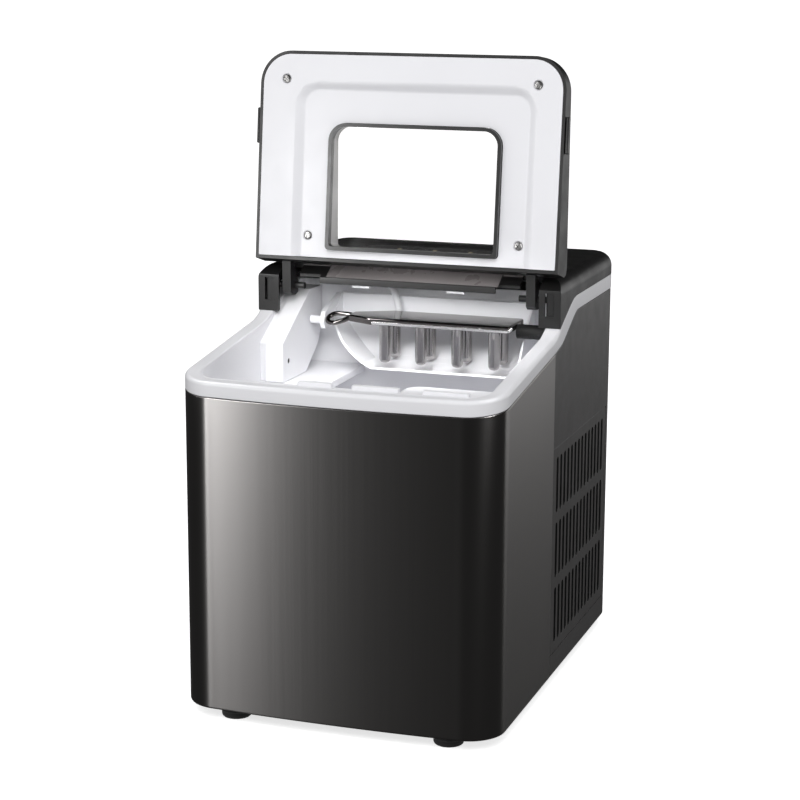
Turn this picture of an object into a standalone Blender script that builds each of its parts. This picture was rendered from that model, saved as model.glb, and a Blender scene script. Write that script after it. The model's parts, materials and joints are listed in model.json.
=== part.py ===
"""Countertop ice maker with its lid open, in metres: +X right, -Y the front, +Z up, feet on z = 0."""

import math

import bmesh
import bpy
from mathutils import Matrix, Vector

MM = 0.001
GAP = 0.3 * MM

# Casing
WIDTH = 242 * MM
FRONT = -165 * MM
BOW = 2.8 * MM
BACK = 167.8 * MM
FRONT_RADIUS = 28 * MM
BACK_RADIUS = 20 * MM
FOOT_HEIGHT = 9 * MM
SEAM_Y = -19 * MM
SIDE_X = WIDTH / 2

# Edge where the casing ends and the white band starts, seen from the side: (y, z)
BAND_LOW = [(-180, 240.2), (-19, 261.1), (0, 264.8), (21, 274.9), (35, 281.8), (43, 284.2), (180, 284.2)]
BAND_HIGH = [(-180, 251.6), (-19, 272.5), (-8, 276.6), (22, 290.6), (31, 294.2), (39, 295.6), (180, 295.6)]

# Basin under the lid
RIM_WIDTH = 12 * MM
BASIN_WALL = 2.5 * MM
BASIN_BACK = 54.5 * MM
BASIN_FLOOR = 120 * MM

# Rear top cover
COVER_TOP = 313.5 * MM
COVER_WALL = 2.5 * MM
COVER_FRONT = -7 * MM
COVER_EDGE = 11 * MM
LIP_LOW = 301 * MM
LIP_HALF = 70 * MM
OPENING_HALF = 104 * MM

# Lid, in its own frame: origin on the hinge axis, -Y to the free edge, +Z out of the lid
HINGE_Y = 3 * MM
HINGE_Z = 297 * MM
LID_LEAN = math.radians(-96.2)
LID_HALF = 120 * MM
LID_NEAR = -17 * MM
LID_FAR = -178.3 * MM
LID_FACE = -19.6 * MM
LID_RADIUS = 25 * MM
LID_WALL = 2.2 * MM
WINDOW_LEFT = -63.5 * MM
WINDOW_RIGHT = 73 * MM
WINDOW_NEAR = -29 * MM
WINDOW_FAR = -125.5 * MM
LINER_NEAR = -23.1 * MM
RECESS_LEFT = -84 * MM
RECESS_RIGHT = 92 * MM
RECESS_FAR = -149 * MM
RECESS_DEPTH = 3.5 * MM
ARM_X = 97.5 * MM
ARM_WIDTH = 7 * MM
PIN_RADIUS = 2.5 * MM

# Ice making: eight fingers under a plate, and the tray that turns round them
FINGER_X = -20 * MM
FINGER_STEP = 29.1 * MM
FINGER_ROWS = (2 * MM, 24.6 * MM)
FINGER_RADIUS = 4.5 * MM
FINGER_TIP = 241 * MM
PLATE_LOW = 271 * MM
PLATE_HIGH = 276.5 * MM
TRAY_Y = 13.3 * MM
TRAY_Z = 269 * MM
TRAY_INNER = 34 * MM
TRAY_WALL = 1.6 * MM
TRAY_LEFT = -73 * MM
TRAY_RIGHT = 86 * MM
SWEEP_WIDTH = 46 * MM
SWEEP_HEIGHT = 41 * MM
SWEEP_POWER = 1.35
SWEEP_STEPS = 9

# Side and rear vents
VENT_LOW = 26 * MM
VENT_HIGH = 188 * MM
VENT_FRONT = SEAM_Y + GAP
VENT_REAR = 144 * MM
SLOT_WIDTH = 6 * MM
SLOT_SPACING = 8 * MM
SLOT_MARGIN = 5.7 * MM
SLOT_LEAD = 3.1 * MM

parts = bpy.data.collections.new("ice_maker")
cutters = bpy.data.collections.new("cutters")


def clear_scene():
    for obj in list(bpy.data.objects):
        bpy.data.objects.remove(obj, do_unlink=True)
    for group in (parts, cutters):
        bpy.context.scene.collection.children.link(group)


def material(name, colour, roughness, metallic=0.0, transmission=0.0):
    mat = bpy.data.materials.new(name)
    mat.use_nodes = True
    shader = mat.node_tree.nodes["Principled BSDF"]
    shader.inputs["Base Color"].default_value = (*colour, 1.0)
    shader.inputs["Roughness"].default_value = roughness
    shader.inputs["Metallic"].default_value = metallic
    shader.inputs["Transmission Weight"].default_value = transmission
    return mat


def place(obj, mat, parent=None):
    """Move a finished object to the parts collection and give it its material."""
    for group in obj.users_collection:
        group.objects.unlink(obj)
    parts.objects.link(obj)
    obj.data.materials.clear()
    obj.data.materials.append(mat)
    if parent:
        obj.parent = parent
    return obj


def as_cutter(obj, parent=None):
    for group in obj.users_collection:
        group.objects.unlink(obj)
    cutters.objects.link(obj)
    obj.hide_render = True
    obj.display_type = "WIRE"
    if parent:
        obj.parent = parent
    return obj


def boolean(obj, cutter, operation="DIFFERENCE"):
    mod = obj.modifiers.new(operation.lower(), "BOOLEAN")
    mod.operation = operation
    mod.solver = "EXACT"
    mod.object = cutter
    return obj


def bevel(obj, width, segments=2, angle=50):
    mod = obj.modifiers.new("rounded_edges", "BEVEL")
    mod.width = width
    mod.segments = segments
    mod.limit_method = "ANGLE"
    mod.angle_limit = math.radians(angle)
    return obj


def mesh_from_curve(curve_obj):
    """Turn a curve object into a mesh object with welded caps and drop the curve."""
    bpy.context.view_layer.update()
    graph = bpy.context.evaluated_depsgraph_get()
    mesh = bpy.data.meshes.new_from_object(curve_obj.evaluated_get(graph))
    bm = bmesh.new()
    bm.from_mesh(mesh)
    bmesh.ops.remove_doubles(bm, verts=bm.verts, dist=0.000001)
    bmesh.ops.recalc_face_normals(bm, faces=bm.faces)
    bm.to_mesh(mesh)
    bm.free()
    obj = bpy.data.objects.new(curve_obj.name, mesh)
    obj.matrix_world = curve_obj.matrix_world.copy()
    bpy.context.scene.collection.objects.link(obj)
    name = curve_obj.name
    bpy.data.objects.remove(curve_obj, do_unlink=True)
    obj.name = name
    return obj


def slab(name, loops, low, high, matrix=None):
    """Extrude closed flat loops between two heights. The first is the outline, the rest are holes."""
    curve = bpy.data.curves.new(name, "CURVE")
    curve.dimensions = "2D"
    curve.fill_mode = "BOTH"
    curve.extrude = (high - low) / 2
    for loop in loops:
        spline = curve.splines.new("POLY")
        spline.points.add(len(loop) - 1)
        for point, (x, y) in zip(spline.points, loop):
            point.co = (x, y, 0, 1)
        spline.use_cyclic_u = True
    obj = bpy.data.objects.new(name, curve)
    bpy.context.scene.collection.objects.link(obj)
    lift = Matrix.Translation((0, 0, (low + high) / 2))
    obj.matrix_world = (matrix or Matrix.Identity(4)) @ lift
    return mesh_from_curve(obj)


ACROSS = Matrix(((0, 0, 1, 0), (1, 0, 0, 0), (0, 1, 0, 0), (0, 0, 0, 1)))
ALONG = Matrix(((1, 0, 0, 0), (0, 0, -1, 0), (0, 1, 0, 0), (0, 0, 0, 1)))


def across(name, loops, low, high):
    """Extrude loops given as (y, z) along X."""
    return slab(name, loops, low, high, ACROSS)


def along(name, loops, low, high):
    """Extrude loops given as (x, z) along Y."""
    return slab(name, loops, -high, -low, ALONG)


def in_mm(points):
    return [(a * MM, b * MM) for a, b in points]


def arc(centre, radius, start, end, steps):
    """Points on a circle from one angle to another, in degrees."""
    points = []
    for step in range(steps + 1):
        angle = math.radians(start + (end - start) * step / steps)
        points.append((centre[0] + radius * math.cos(angle), centre[1] + radius * math.sin(angle)))
    return points


def rounded(x0, x1, y0, y1, radii, steps=5):
    """Rectangle with its own radius at each corner, from low-left and anticlockwise."""
    corners = [(x0, y0, 1, 1, 180), (x1, y0, -1, 1, 270), (x1, y1, -1, -1, 0), (x0, y1, 1, -1, 90)]
    points = []
    for (x, y, sx, sy, start), radius in zip(corners, radii):
        centre = (x + sx * radius, y + sy * radius)
        points += arc(centre, radius, start, start + 90, steps)
    return points


def body_outline(inset, back=BACK, back_radius=BACK_RADIUS):
    """Plan of the casing, with a bowed front, moved in by an inset."""
    half = SIDE_X - inset
    front = FRONT + inset
    rear = back - inset
    r_front = FRONT_RADIUS - inset
    r_back = max(back_radius - inset, 2 * MM)
    flat = half - r_front
    points = arc((-flat, front + r_front), r_front, 180, 270, 7)
    for step in range(1, 8):
        x = -flat + 2 * flat * step / 8
        points.append((x, front - BOW * (1 - (x / flat) ** 2)))
    points += arc((flat, front + r_front), r_front, 270, 360, 7)
    points += arc((half - r_back, rear - r_back), r_back, 0, 90, 4)
    points += arc((-half + r_back, rear - r_back), r_back, 90, 180, 4)
    return points


def box(name, low, high):
    """Box between two corners, with its scale applied."""
    mesh = bpy.data.meshes.new(name)
    bm = bmesh.new()
    bmesh.ops.create_cube(bm, size=1)
    size = Vector(high) - Vector(low)
    centre = (Vector(high) + Vector(low)) / 2
    bmesh.ops.transform(bm, matrix=Matrix.Diagonal((*size, 1)), verts=bm.verts)
    bm.to_mesh(mesh)
    bm.free()
    obj = bpy.data.objects.new(name, mesh)
    obj.location = centre
    bpy.context.scene.collection.objects.link(obj)
    return obj


def rod(name, centre, radius, length, axis="Z", sides=24, end_radius=None):
    """Round bar or cone centred on a point, along one axis."""
    turn = {"X": Matrix.Rotation(math.pi / 2, 4, "Y"), "Y": Matrix.Rotation(-math.pi / 2, 4, "X")}
    mesh = bpy.data.meshes.new(name)
    bm = bmesh.new()
    far = radius if end_radius is None else end_radius
    bmesh.ops.create_cone(bm, cap_ends=True, segments=sides, radius1=radius, radius2=far, depth=length)
    bmesh.ops.transform(bm, matrix=turn.get(axis, Matrix.Identity(4)), verts=bm.verts)
    bm.to_mesh(mesh)
    bm.free()
    mesh.shade_smooth()
    mesh.set_sharp_from_angle(angle=math.radians(40))
    obj = bpy.data.objects.new(name, mesh)
    obj.location = centre
    bpy.context.scene.collection.objects.link(obj)
    return obj


def turned(name, profile, location, steps=24):
    """Turned piece: a profile of (radius, z) that runs down its outer side."""
    mesh = bpy.data.meshes.new(name)
    edges = [(i, i + 1) for i in range(len(profile) - 1)]
    mesh.from_pydata([(r, 0, z) for r, z in profile], edges, [])
    obj = bpy.data.objects.new(name, mesh)
    obj.location = location
    bpy.context.scene.collection.objects.link(obj)
    mod = obj.modifiers.new("turned", "SCREW")
    mod.axis = "Z"
    mod.steps = steps
    mod.render_steps = steps
    mod.use_merge_vertices = True
    mod.merge_threshold = 0.00002
    return obj


def pipe(name, route, radius, resolution=2):
    """Round tube along a smooth curve through the points."""
    curve = bpy.data.curves.new(name, "CURVE")
    curve.dimensions = "3D"
    curve.bevel_depth = radius
    curve.bevel_resolution = resolution
    curve.use_fill_caps = True
    spline = curve.splines.new("POLY")
    smooth = smooth_route(route)
    spline.points.add(len(smooth) - 1)
    for point, co in zip(spline.points, smooth):
        point.co = (*co, 1)
    obj = bpy.data.objects.new(name, curve)
    bpy.context.scene.collection.objects.link(obj)
    return mesh_from_curve(obj)


def smooth_route(route, steps=4):
    """Catmull-Rom points through a route given in millimetres."""
    knots = [Vector(p) * MM for p in route]
    knots = [2 * knots[0] - knots[1]] + knots + [2 * knots[-1] - knots[-2]]
    points = []
    for i in range(1, len(knots) - 2):
        a, b, c, d = knots[i - 1 : i + 3]
        for step in range(steps):
            t = step / steps
            bend = (2 * a - 5 * b + 4 * c - d) * t * t + (3 * b - a - 3 * c + d) * t**3
            points.append((2 * b + (c - a) * t + bend) / 2)
    points.append(knots[-2])
    return points


def empty(name, location, tilt=0.0):
    obj = bpy.data.objects.new(name, None)
    obj.location = location
    obj.rotation_euler.x = tilt
    parts.objects.link(obj)
    return obj


def below(line, lift, floor, start=-180, end=180):
    """Area under a band edge, between two y values in millimetres, as (y, z) points."""
    points = [(start * MM, floor)]
    points.append((start * MM, height_on(line, start) + lift))
    points += [(y * MM, z * MM + lift) for y, z in line if start < y < end]
    points.append((end * MM, height_on(line, end) + lift))
    points.append((end * MM, floor))
    return points


def height_on(line, y):
    for (y0, z0), (y1, z1) in zip(line, line[1:]):
        if y0 <= y <= y1:
            return (z0 + (z1 - z0) * (y - y0) / (y1 - y0)) * MM
    return line[-1][1] * MM


# ---------------------------------------------------------------- casing


def make_casing(steel, grey, black, rubber):
    seam = SEAM_Y / MM
    front = slab("front_shell", [body_outline(0), body_outline(1 * MM)], FOOT_HEIGHT, 0.3)
    area = as_cutter(across("front_shell_area", [below(BAND_LOW, -GAP, 0, -180, seam - 0.3)], -0.2, 0.2))
    place(boolean(front, area, "INTERSECT"), steel)

    rear = slab("rear_shell", [body_outline(GAP), body_outline(2.3 * MM)], FOOT_HEIGHT, 0.3)
    area = as_cutter(across("rear_shell_area", [below(BAND_LOW, -GAP, 0, seam + 0.3, 180)], -0.2, 0.2))
    boolean(rear, area, "INTERSECT")
    window = box("side_vent_window", (-0.2, -0.03, VENT_LOW), (0.2, VENT_REAR, VENT_HIGH))
    boolean(rear, as_cutter(window))
    window = box("rear_vent_window", (-0.07, 0.14, 0.07), (0.07, 0.2, 0.18))
    boolean(rear, as_cutter(window))
    for name, x, z, radius in (("drain_hole", -88, 34, 9), ("cord_hole", 84, 34, 8)):
        boolean(rear, as_cutter(rod(name, (x * MM, BACK, z * MM), radius * MM, 0.03, "Y")))
    place(rear, grey)

    pan = slab("base_pan", [body_outline(2.6 * MM)], FOOT_HEIGHT + GAP, 12.5 * MM)
    place(pan, black)
    for name, x, y in (
        ("foot_front_left", -82, -147),
        ("foot_front_right", 82, -147),
        ("foot_rear_left", -82, 140),
        ("foot_rear_right", 82, 140),
    ):
        profile = [(0, 9), (12, 9), (12, 2), (10.5, 0), (0, 0)]
        foot = turned(name, in_mm(profile), (x * MM, y * MM, 0))
        place(foot, rubber)


def vent_loops(x0, x1, y0, y1, rows, lead=0.0, columns=14):
    """Panel outline and its rows of upright slots with round ends. The lead is extra room before the first slot."""
    loops = [rounded(x0, x1, y0, y1, [2 * MM] * 4, 2)]
    pitch = (x1 - x0 - 2 * SLOT_MARGIN - lead) / columns
    row_pitch = (y1 - y0 - SLOT_SPACING) / rows
    radius = SLOT_WIDTH / 2
    for row in range(rows):
        low = y0 + SLOT_SPACING + row * row_pitch + radius
        high = low + row_pitch - SLOT_SPACING - SLOT_WIDTH
        for column in range(columns):
            x = x0 + SLOT_MARGIN + lead + (column + 0.5) * pitch
            loops.append(arc((x, high), radius, 0, 180, 3) + arc((x, low), radius, 180, 360, 3))
    return loops


def make_vents(grey):
    side = (VENT_FRONT, VENT_REAR - GAP, VENT_LOW + GAP, VENT_HIGH - GAP)
    loops = vent_loops(*side, 3, SLOT_LEAD)
    outer = SIDE_X - 0.6 * MM
    right = across("vent_grille_right", loops, outer - 1.6 * MM, outer)
    place(right, grey)
    left = across("vent_grille_left", loops, -outer, 1.6 * MM - outer)
    place(left, grey)
    loops = vent_loops(-69.7 * MM, 69.7 * MM, 70.3 * MM, 179.7 * MM, 2)
    place(along("vent_grille_rear", loops, BACK - 2.2 * MM, BACK - 0.6 * MM), grey)


# ---------------------------------------------------------------- basin


def make_basin(white):
    basin = slab("basin", [body_outline(0)], 0.2, 0.33)
    band = below(BAND_HIGH, 0, 0.1)
    low_edge = [(y * MM, z * MM) for y, z in BAND_LOW]
    band = [p for p in band if p[1] > 0.15] + low_edge[::-1]
    boolean(basin, as_cutter(across("band_area", [band], -0.2, 0.2)), "INTERSECT")

    inset = RIM_WIDTH - BASIN_WALL
    walls = slab("basin_walls", [body_outline(inset, BASIN_BACK + RIM_WIDTH)], BASIN_FLOOR - BASIN_WALL, 0.33)
    under = as_cutter(across("basin_walls_area", [below(BAND_HIGH, -0.5 * MM, 0.05)], -0.2, 0.2))
    boolean(walls, under, "INTERSECT")
    boolean(basin, as_cutter(walls), "UNION")

    hollow = slab("basin_hollow", [body_outline(RIM_WIDTH, BASIN_BACK + RIM_WIDTH)], BASIN_FLOOR, 0.35)
    boolean(basin, as_cutter(hollow))
    behind = slab("behind_basin", [rear_room(3 * MM)], 0.15, 0.35)
    boolean(basin, as_cutter(behind))

    ledge = slab("front_ledge", [rounded(-0.11, 0.11, -0.1545, -0.126, [8 * MM] * 4, 3)], 0.2405, 0.2475)
    boolean(basin, as_cutter(ledge), "UNION")
    corners = [2 * MM, 2 * MM, 2 * MM, 10 * MM]
    shelf = slab("right_ledge", [rounded(0.036, 0.11, -0.14, -0.1, corners, 3)], 0.2395, 0.247)
    boolean(basin, as_cutter(shelf), "UNION")
    for number, (x0, x1) in enumerate(((-38, -12), (3, 38), (56, 90))):
        tab = box(f"basket_stop_{number}", (x0 * MM, -0.1325, 0.243), (x1 * MM, -0.1285, 0.2515))
        boolean(basin, as_cutter(tab), "UNION")
    left = box("left_ledge", (-0.1105, -0.038, 0.2225), (-0.055, 0.055, 0.2275))
    boolean(basin, as_cutter(left), "UNION")
    notch = box("pipe_notch", (-0.068, 0.05, 0.288), (-0.05, 0.062, 0.32))
    boolean(basin, as_cutter(notch))
    place(basin, white)


def rear_room(inset):
    """Plan of the room behind the basin, inside the band."""
    half = SIDE_X - inset
    radius = BACK_RADIUS - inset
    front = BASIN_BACK + BASIN_WALL
    return rounded(-half, half, front, BACK - inset, [1 * MM, 1 * MM, radius, radius], 4)


# ---------------------------------------------------------------- rear top cover


def cover_body(name, inset, top):
    """Rounded block of the cover, moved in by an inset."""
    radius = BACK_RADIUS - inset
    half = SIDE_X - inset
    outline = rounded(-half, half, -0.08, BACK - inset, [1 * MM, 1 * MM, radius, radius], 5)
    return bevel(slab(name, [outline], 0.2, top), COVER_EDGE - inset, 4, 70)


def make_cover(black, glossy, white):
    front = COVER_FRONT / MM
    cover = cover_body("top_cover", 0, COVER_TOP)
    profile = in_mm([(front, 305), (7, 313.5), (7, 330), (180, 330), (180, 295.9), (39, 295.9)])
    profile += in_mm([(31, 294.5), (22, 290.9), (front, 277.5)])
    boolean(cover, as_cutter(across("cover_area", [profile], -0.2, 0.2)), "INTERSECT")
    hollow = cover_body("cover_hollow", COVER_WALL, COVER_TOP - COVER_WALL)
    profile = in_mm([(-4.5, 250), (-4.5, 303.4), (8.5, 311), (8.5, 330), (180, 330), (180, 250)])
    boolean(hollow, as_cutter(across("cover_hollow_area", [profile], -0.2, 0.2)), "INTERSECT")
    boolean(cover, as_cutter(hollow))
    mouth = box("cover_mouth", (-OPENING_HALF, -0.03, 0.2), (OPENING_HALF, 0.03, LIP_LOW))
    boolean(cover, as_cutter(mouth))
    for side in (-1, 1):
        x0, x1 = sorted((side * 88 * MM, side * OPENING_HALF))
        boolean(cover, as_cutter(box("arm_notch", (x0, -0.03, 0.29), (x1, 7.2 * MM, 0.33))))
        x0, x1 = sorted((side * LIP_HALF, side * 89 * MM))
        boolean(cover, as_cutter(box("lip_notch", (x0, -0.03, 0.29), (x1, -2 * MM, 0.3075))))
        x0, x1 = sorted((side * 108.5 * MM, side * 115.5 * MM))
        boolean(cover, as_cutter(box("pillar_pocket", (x0, -0.03, 0.286), (x1, -1 * MM, 0.3035))))
    recess = slab("panel_recess", [panel_outline(0)], COVER_TOP - 1.3 * MM, 0.33)
    boolean(cover, as_cutter(recess))
    for x, y, radius in control_places():
        boolean(cover, as_cutter(rod("control_hole", (x, y, 0.31), radius + GAP, 0.02)))
    place(cover, black)

    strip = across("cover_strip", [in_mm([(-6.1, 305.9), (6.4, 313.45), (6.2, 314), (-6.5, 306.4)])], -0.065, 0.072)
    place(strip, glossy)
    for name, x in (("snap_tab_left", -38), ("snap_tab_right", 38)):
        tab = box(name, ((x - 7) * MM, -3.5 * MM, 0.2987), ((x + 7) * MM, 0.5 * MM, 0.3007))
        place(tab, white)


def panel_outline(inset):
    return rounded(-0.075 + inset, 0.075 - inset, 0.056 + inset, 0.124 - inset, [8 * MM] * 4, 4)


def control_places():
    """Centre and radius of each button and indicator on the cover."""
    places = [(-30 * MM, 78 * MM, 8 * MM), (30 * MM, 78 * MM, 8 * MM)]
    places += [(x * MM, 108 * MM, 2 * MM) for x in (-45, -15, 15, 45)]
    return places


def make_controls(glossy, silver, amber, board_green):
    panel = slab("control_panel", [panel_outline(GAP)], COVER_TOP - 1 * MM, COVER_TOP)
    names = ["power_button", "select_button"]
    names += [f"{kind}_light" for kind in ("small_ice", "large_ice", "ice_full", "add_water")]
    for name, (x, y, radius) in zip(names, control_places()):
        boolean(panel, as_cutter(rod("panel_hole", (x, y, COVER_TOP), radius + GAP, 0.02)))
        if "button" in name:
            key = rod(name, (x, y, COVER_TOP - 1.2 * MM), radius, 3.6 * MM, sides=32)
            place(bevel(key, 0.4 * MM), silver)
        else:
            place(rod(name, (x, y, COVER_TOP - 1 * MM), radius, 2.4 * MM, sides=16), amber)
    place(panel, glossy)
    board = box("control_board", (-0.05, 0.066, 0.3), (0.06, 0.118, 0.3016))
    place(board, board_green)


# ---------------------------------------------------------------- lid


def lid_body(name, inset, bottom, frame):
    """Wedge of the lid, thick at the hinge, moved in by an inset."""
    half = LID_HALF - inset
    radius = LID_RADIUS - inset
    outline = rounded(-half, half, LID_FAR + inset, -0.01, [radius, radius, 1 * MM, 1 * MM], 6)
    solid = slab(name, [outline], bottom, 0.02)
    i = inset / MM
    profile = [(-190, -45), (-24.9 - i, -45), (-17.2 - 1.2 * i, -1 - 0.2 * i), (-19.5 - i, 4.5 - i)]
    profile += [(-25 - i, 6.2 - i), (-190, -8.6 - i)]
    area = as_cutter(across(name + "_area", [in_mm(profile)], -0.2, 0.2))
    boolean(solid, area, "INTERSECT")
    solid.parent = frame
    area.parent = frame
    return solid


def window_outline(inset):
    radii = [14 * MM - inset, 14 * MM - inset, 3 * MM, 3 * MM]
    left, right = WINDOW_LEFT + inset, WINDOW_RIGHT - inset
    return rounded(left, right, WINDOW_FAR + inset, WINDOW_NEAR - inset, radii, 5)


def lid_top(drop):
    """Area under the lid's top face, lowered by a drop in millimetres."""
    return in_mm([(-190, -60), (-5, -60), (-5, 7.99 - drop), (-190, -8.6 - drop)])


def make_lid(frame, black, white, rubber, clear, grey, screw_steel):
    shell = bevel(lid_body("lid_shell", 0, -0.04, frame), 5 * MM, 3, 60)
    hollow = as_cutter(lid_body("lid_hollow", LID_WALL, -0.05, frame), frame)
    boolean(shell, hollow)
    boolean(shell, as_cutter(box("under_lid", (-0.2, -0.25, -0.08), (0.2, 0.05, LID_FACE)), frame))
    boolean(shell, as_cutter(slab("shell_window", [window_outline(0)], -0.05, 0.03), frame))
    place(shell, black, frame)

    inset = LID_WALL + GAP
    half = LID_HALF - inset
    radius = LID_RADIUS - inset
    outline = rounded(-half, half, LID_FAR + inset, LINER_NEAR, [radius, radius, 1 * MM, 1 * MM], 6)
    liner = slab("lid_liner", [outline], LID_FACE, LID_FACE + 5.5 * MM)
    boolean(liner, as_cutter(slab("liner_window", [window_outline(0)], -0.05, 0.03), frame))
    boolean(liner, as_cutter(liner_recess(), frame))
    place(liner, white, frame)

    gasket = slab("window_gasket", [window_outline(GAP), window_outline(3 * MM)], -19.4 * MM, -14.5 * MM)
    place(gasket, rubber, frame)
    collar = slab("window_collar", [window_outline(GAP), window_outline(2 * MM)], -14.2 * MM, 0.03)
    boolean(collar, as_cutter(across("collar_area", [lid_top(2.9)], -0.2, 0.2), frame), "INTERSECT")
    place(collar, grey, frame)
    pane = slab("window_pane", [window_outline(GAP)], -0.02, 0.03)
    boolean(pane, as_cutter(across("pane_area", [lid_top(0.2)], -0.2, 0.2), frame), "INTERSECT")
    boolean(pane, as_cutter(across("pane_under", [lid_top(2.6)], -0.3, 0.3), frame))
    place(pane, clear, frame)

    screws = (("far_left", -98.8, -157.2, 0), ("far_right", 98.8, -157.2, 0))
    screws += (("near_left", -79, -39.4, RECESS_DEPTH), ("near_right", 88, -39.4, RECESS_DEPTH))
    for name, x, y, depth in screws:
        z = LID_FACE + depth - GAP - 0.6 * MM
        head = rod("lid_screw_" + name, (x * MM, y * MM, z), 3.2 * MM, 1.2 * MM, sides=20)
        place(head, screw_steel, frame)
    for name, side in (("left", -1), ("right", 1)):
        make_arm(name, side, frame, black)
        x0, x1 = sorted((side * (LID_HALF + GAP), side * (LID_HALF + 2.6 * MM)))
        grip = box("lid_grip_" + name, (x0, -0.135, -0.0185), (x1, -0.108, -0.0125))
        place(bevel(grip, 0.8 * MM), black, frame)


def liner_recess():
    """Shallow field of the liner with sloping sides, open to the hinge edge."""
    mesh = bpy.data.meshes.new("liner_recess")
    bm = bmesh.new()
    bmesh.ops.create_cube(bm, size=1)
    for vert in bm.verts:
        deep = vert.co.z > 0
        slope = 0 if deep else 8 * MM
        x = RECESS_LEFT - slope if vert.co.x < 0 else RECESS_RIGHT + slope
        y = RECESS_FAR - slope if vert.co.y < 0 else -10 * MM
        vert.co = (x, y, LID_FACE + (RECESS_DEPTH if deep else -1 * MM))
    bm.to_mesh(mesh)
    bm.free()
    obj = bpy.data.objects.new("liner_recess", mesh)
    bpy.context.scene.collection.objects.link(obj)
    return obj


def make_arm(name, side, frame, black):
    """Lever from the lid's near edge to the hinge pin."""
    x0 = side * ARM_X - ARM_WIDTH / 2
    shape = [(5, -9.5), (7, -4), (6.5, 2), (3, 6), (-3, 6), (-8, 2), (-17.4, -4.3), (-18.7, -12)]
    hole = arc((0, 0), PIN_RADIUS + 0.4 * MM, 0, 337.5, 15)
    arm = across("hinge_arm_" + name, [in_mm(shape), hole], x0, x0 + ARM_WIDTH)
    place(arm, black, frame)


def make_hinge_pins(steel):
    for name, side in (("left", -1), ("right", 1)):
        centre = (side * 102.2 * MM, HINGE_Y, HINGE_Z)
        place(rod("hinge_pin_" + name, centre, PIN_RADIUS, 32 * MM, "X", 16), steel)


# ---------------------------------------------------------------- ice making


def make_evaporator(chrome, black, white):
    outline = in_mm([(-29, -6.5), (82, -6.5), (82, 31.5), (-24, 31.5), (-51, 17), (-51, 4), (-38, -2)])
    evaporator = bevel(slab("evaporator", [outline], PLATE_LOW, PLATE_HIGH), 1.6 * MM, 2)
    top = PLATE_LOW + 2 * MM - FINGER_TIP
    r = FINGER_RADIUS
    profile = [(0, top), (r, top), (r, 2.5 * MM), (r * 0.75, 0.8 * MM), (0, 0)]
    for y in FINGER_ROWS:
        for column in range(4):
            x = FINGER_X + column * FINGER_STEP
            finger = turned("ice_finger", profile, (x, y, FINGER_TIP), 16)
            boolean(evaporator, as_cutter(finger), "UNION")
    place(evaporator, chrome)
    route = [(-20, 33.2, 274), (-21, 38, 276), (-28, 44.5, 290.5), (-40, 51, 299.6), (-52, 60, 300.5)]
    route += [(-59, 72, 296), (-58, 78, 270), (-56, 82, 215), (-54, 90, 168), (-52, 96, 153.4)]
    place(pipe("suction_pipe", route, 2.8 * MM), white)
    route = [(-51.6, 6, 273), (-57, 4, 270.5), (-63, 3.6, 269), (-68.5, 6.5, 269.5), (-69.4, 11, 272)]
    route += [(-65, 14.4, 274.4), (-58, 14.8, 274.5), (-51.6, 14.2, 274)]
    place(pipe("evaporator_loop", route, 1.9 * MM), chrome)
    holder = rod("evaporator_holder", (95.4 * MM, TRAY_Y, TRAY_Z + 1 * MM), 5.5 * MM, 26 * MM, "X", 20)
    place(holder, black)


def tray_area(radius, closed):
    """Side view of the tray about its axis: a round bottom that runs up into the back wall."""
    points = arc((0, 0), radius, -105, 0, 12)
    if closed:
        points += [(radius, 17.5 * MM), (14 * MM, 2 * MM), (-1 * MM, -17 * MM)]
    else:
        points += [(radius, 40 * MM), (-60 * MM, 40 * MM), (-60 * MM, points[0][1])]
    return points


def tray_ends(inset):
    """Front view of the tray: a wide sweep at its lower left corner and a small round at the right."""
    low = -TRAY_INNER - TRAY_WALL + inset
    left, right = TRAY_LEFT + inset, TRAY_RIGHT - inset
    points = []
    for step in range(SWEEP_STEPS + 1):
        angle = math.pi / 2 * step / SWEEP_STEPS
        across_it = SWEEP_WIDTH * (1 - math.cos(angle) ** SWEEP_POWER)
        up = (SWEEP_HEIGHT - inset) * (1 - math.sin(angle) ** SWEEP_POWER)
        points.append((left + across_it, low + up))
    points += arc((right - 14 * MM, low + 14 * MM), 14 * MM, 270, 360, 6)
    return points + [(right, 60 * MM), (left, 60 * MM)]


def make_tray(frame, white, silver):
    tray = across("water_tray", [tray_area(TRAY_INNER + TRAY_WALL, True)], TRAY_LEFT - 0.01, TRAY_RIGHT + 0.01)
    ends = as_cutter(along("tray_ends", [tray_ends(0)], -0.1, 0.1), frame)
    boolean(tray, ends, "INTERSECT")
    hollow = across("tray_hollow", [tray_area(TRAY_INNER, False)], -0.2, 0.2)
    ends = as_cutter(along("tray_hollow_ends", [tray_ends(TRAY_WALL)], -0.1, 0.1), frame)
    boolean(hollow, ends, "INTERSECT")
    boolean(tray, as_cutter(hollow, frame))
    shape = in_mm([(6, -6), (34, -8), (35, 14), (30, 17), (-3, 7), (-7, 0), (-4, -6)])
    arm = across("tray_arm", [shape], TRAY_LEFT - 2.6 * MM, TRAY_LEFT + 1 * MM)
    boolean(tray, as_cutter(arm, frame), "UNION")
    place(tray, white, frame)
    length = 9.4 * MM
    centre = (TRAY_LEFT - 2.9 * MM - length / 2, 0, 0)
    place(rod("tray_shaft", centre, 3 * MM, length, "X", 16), silver, frame)


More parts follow.
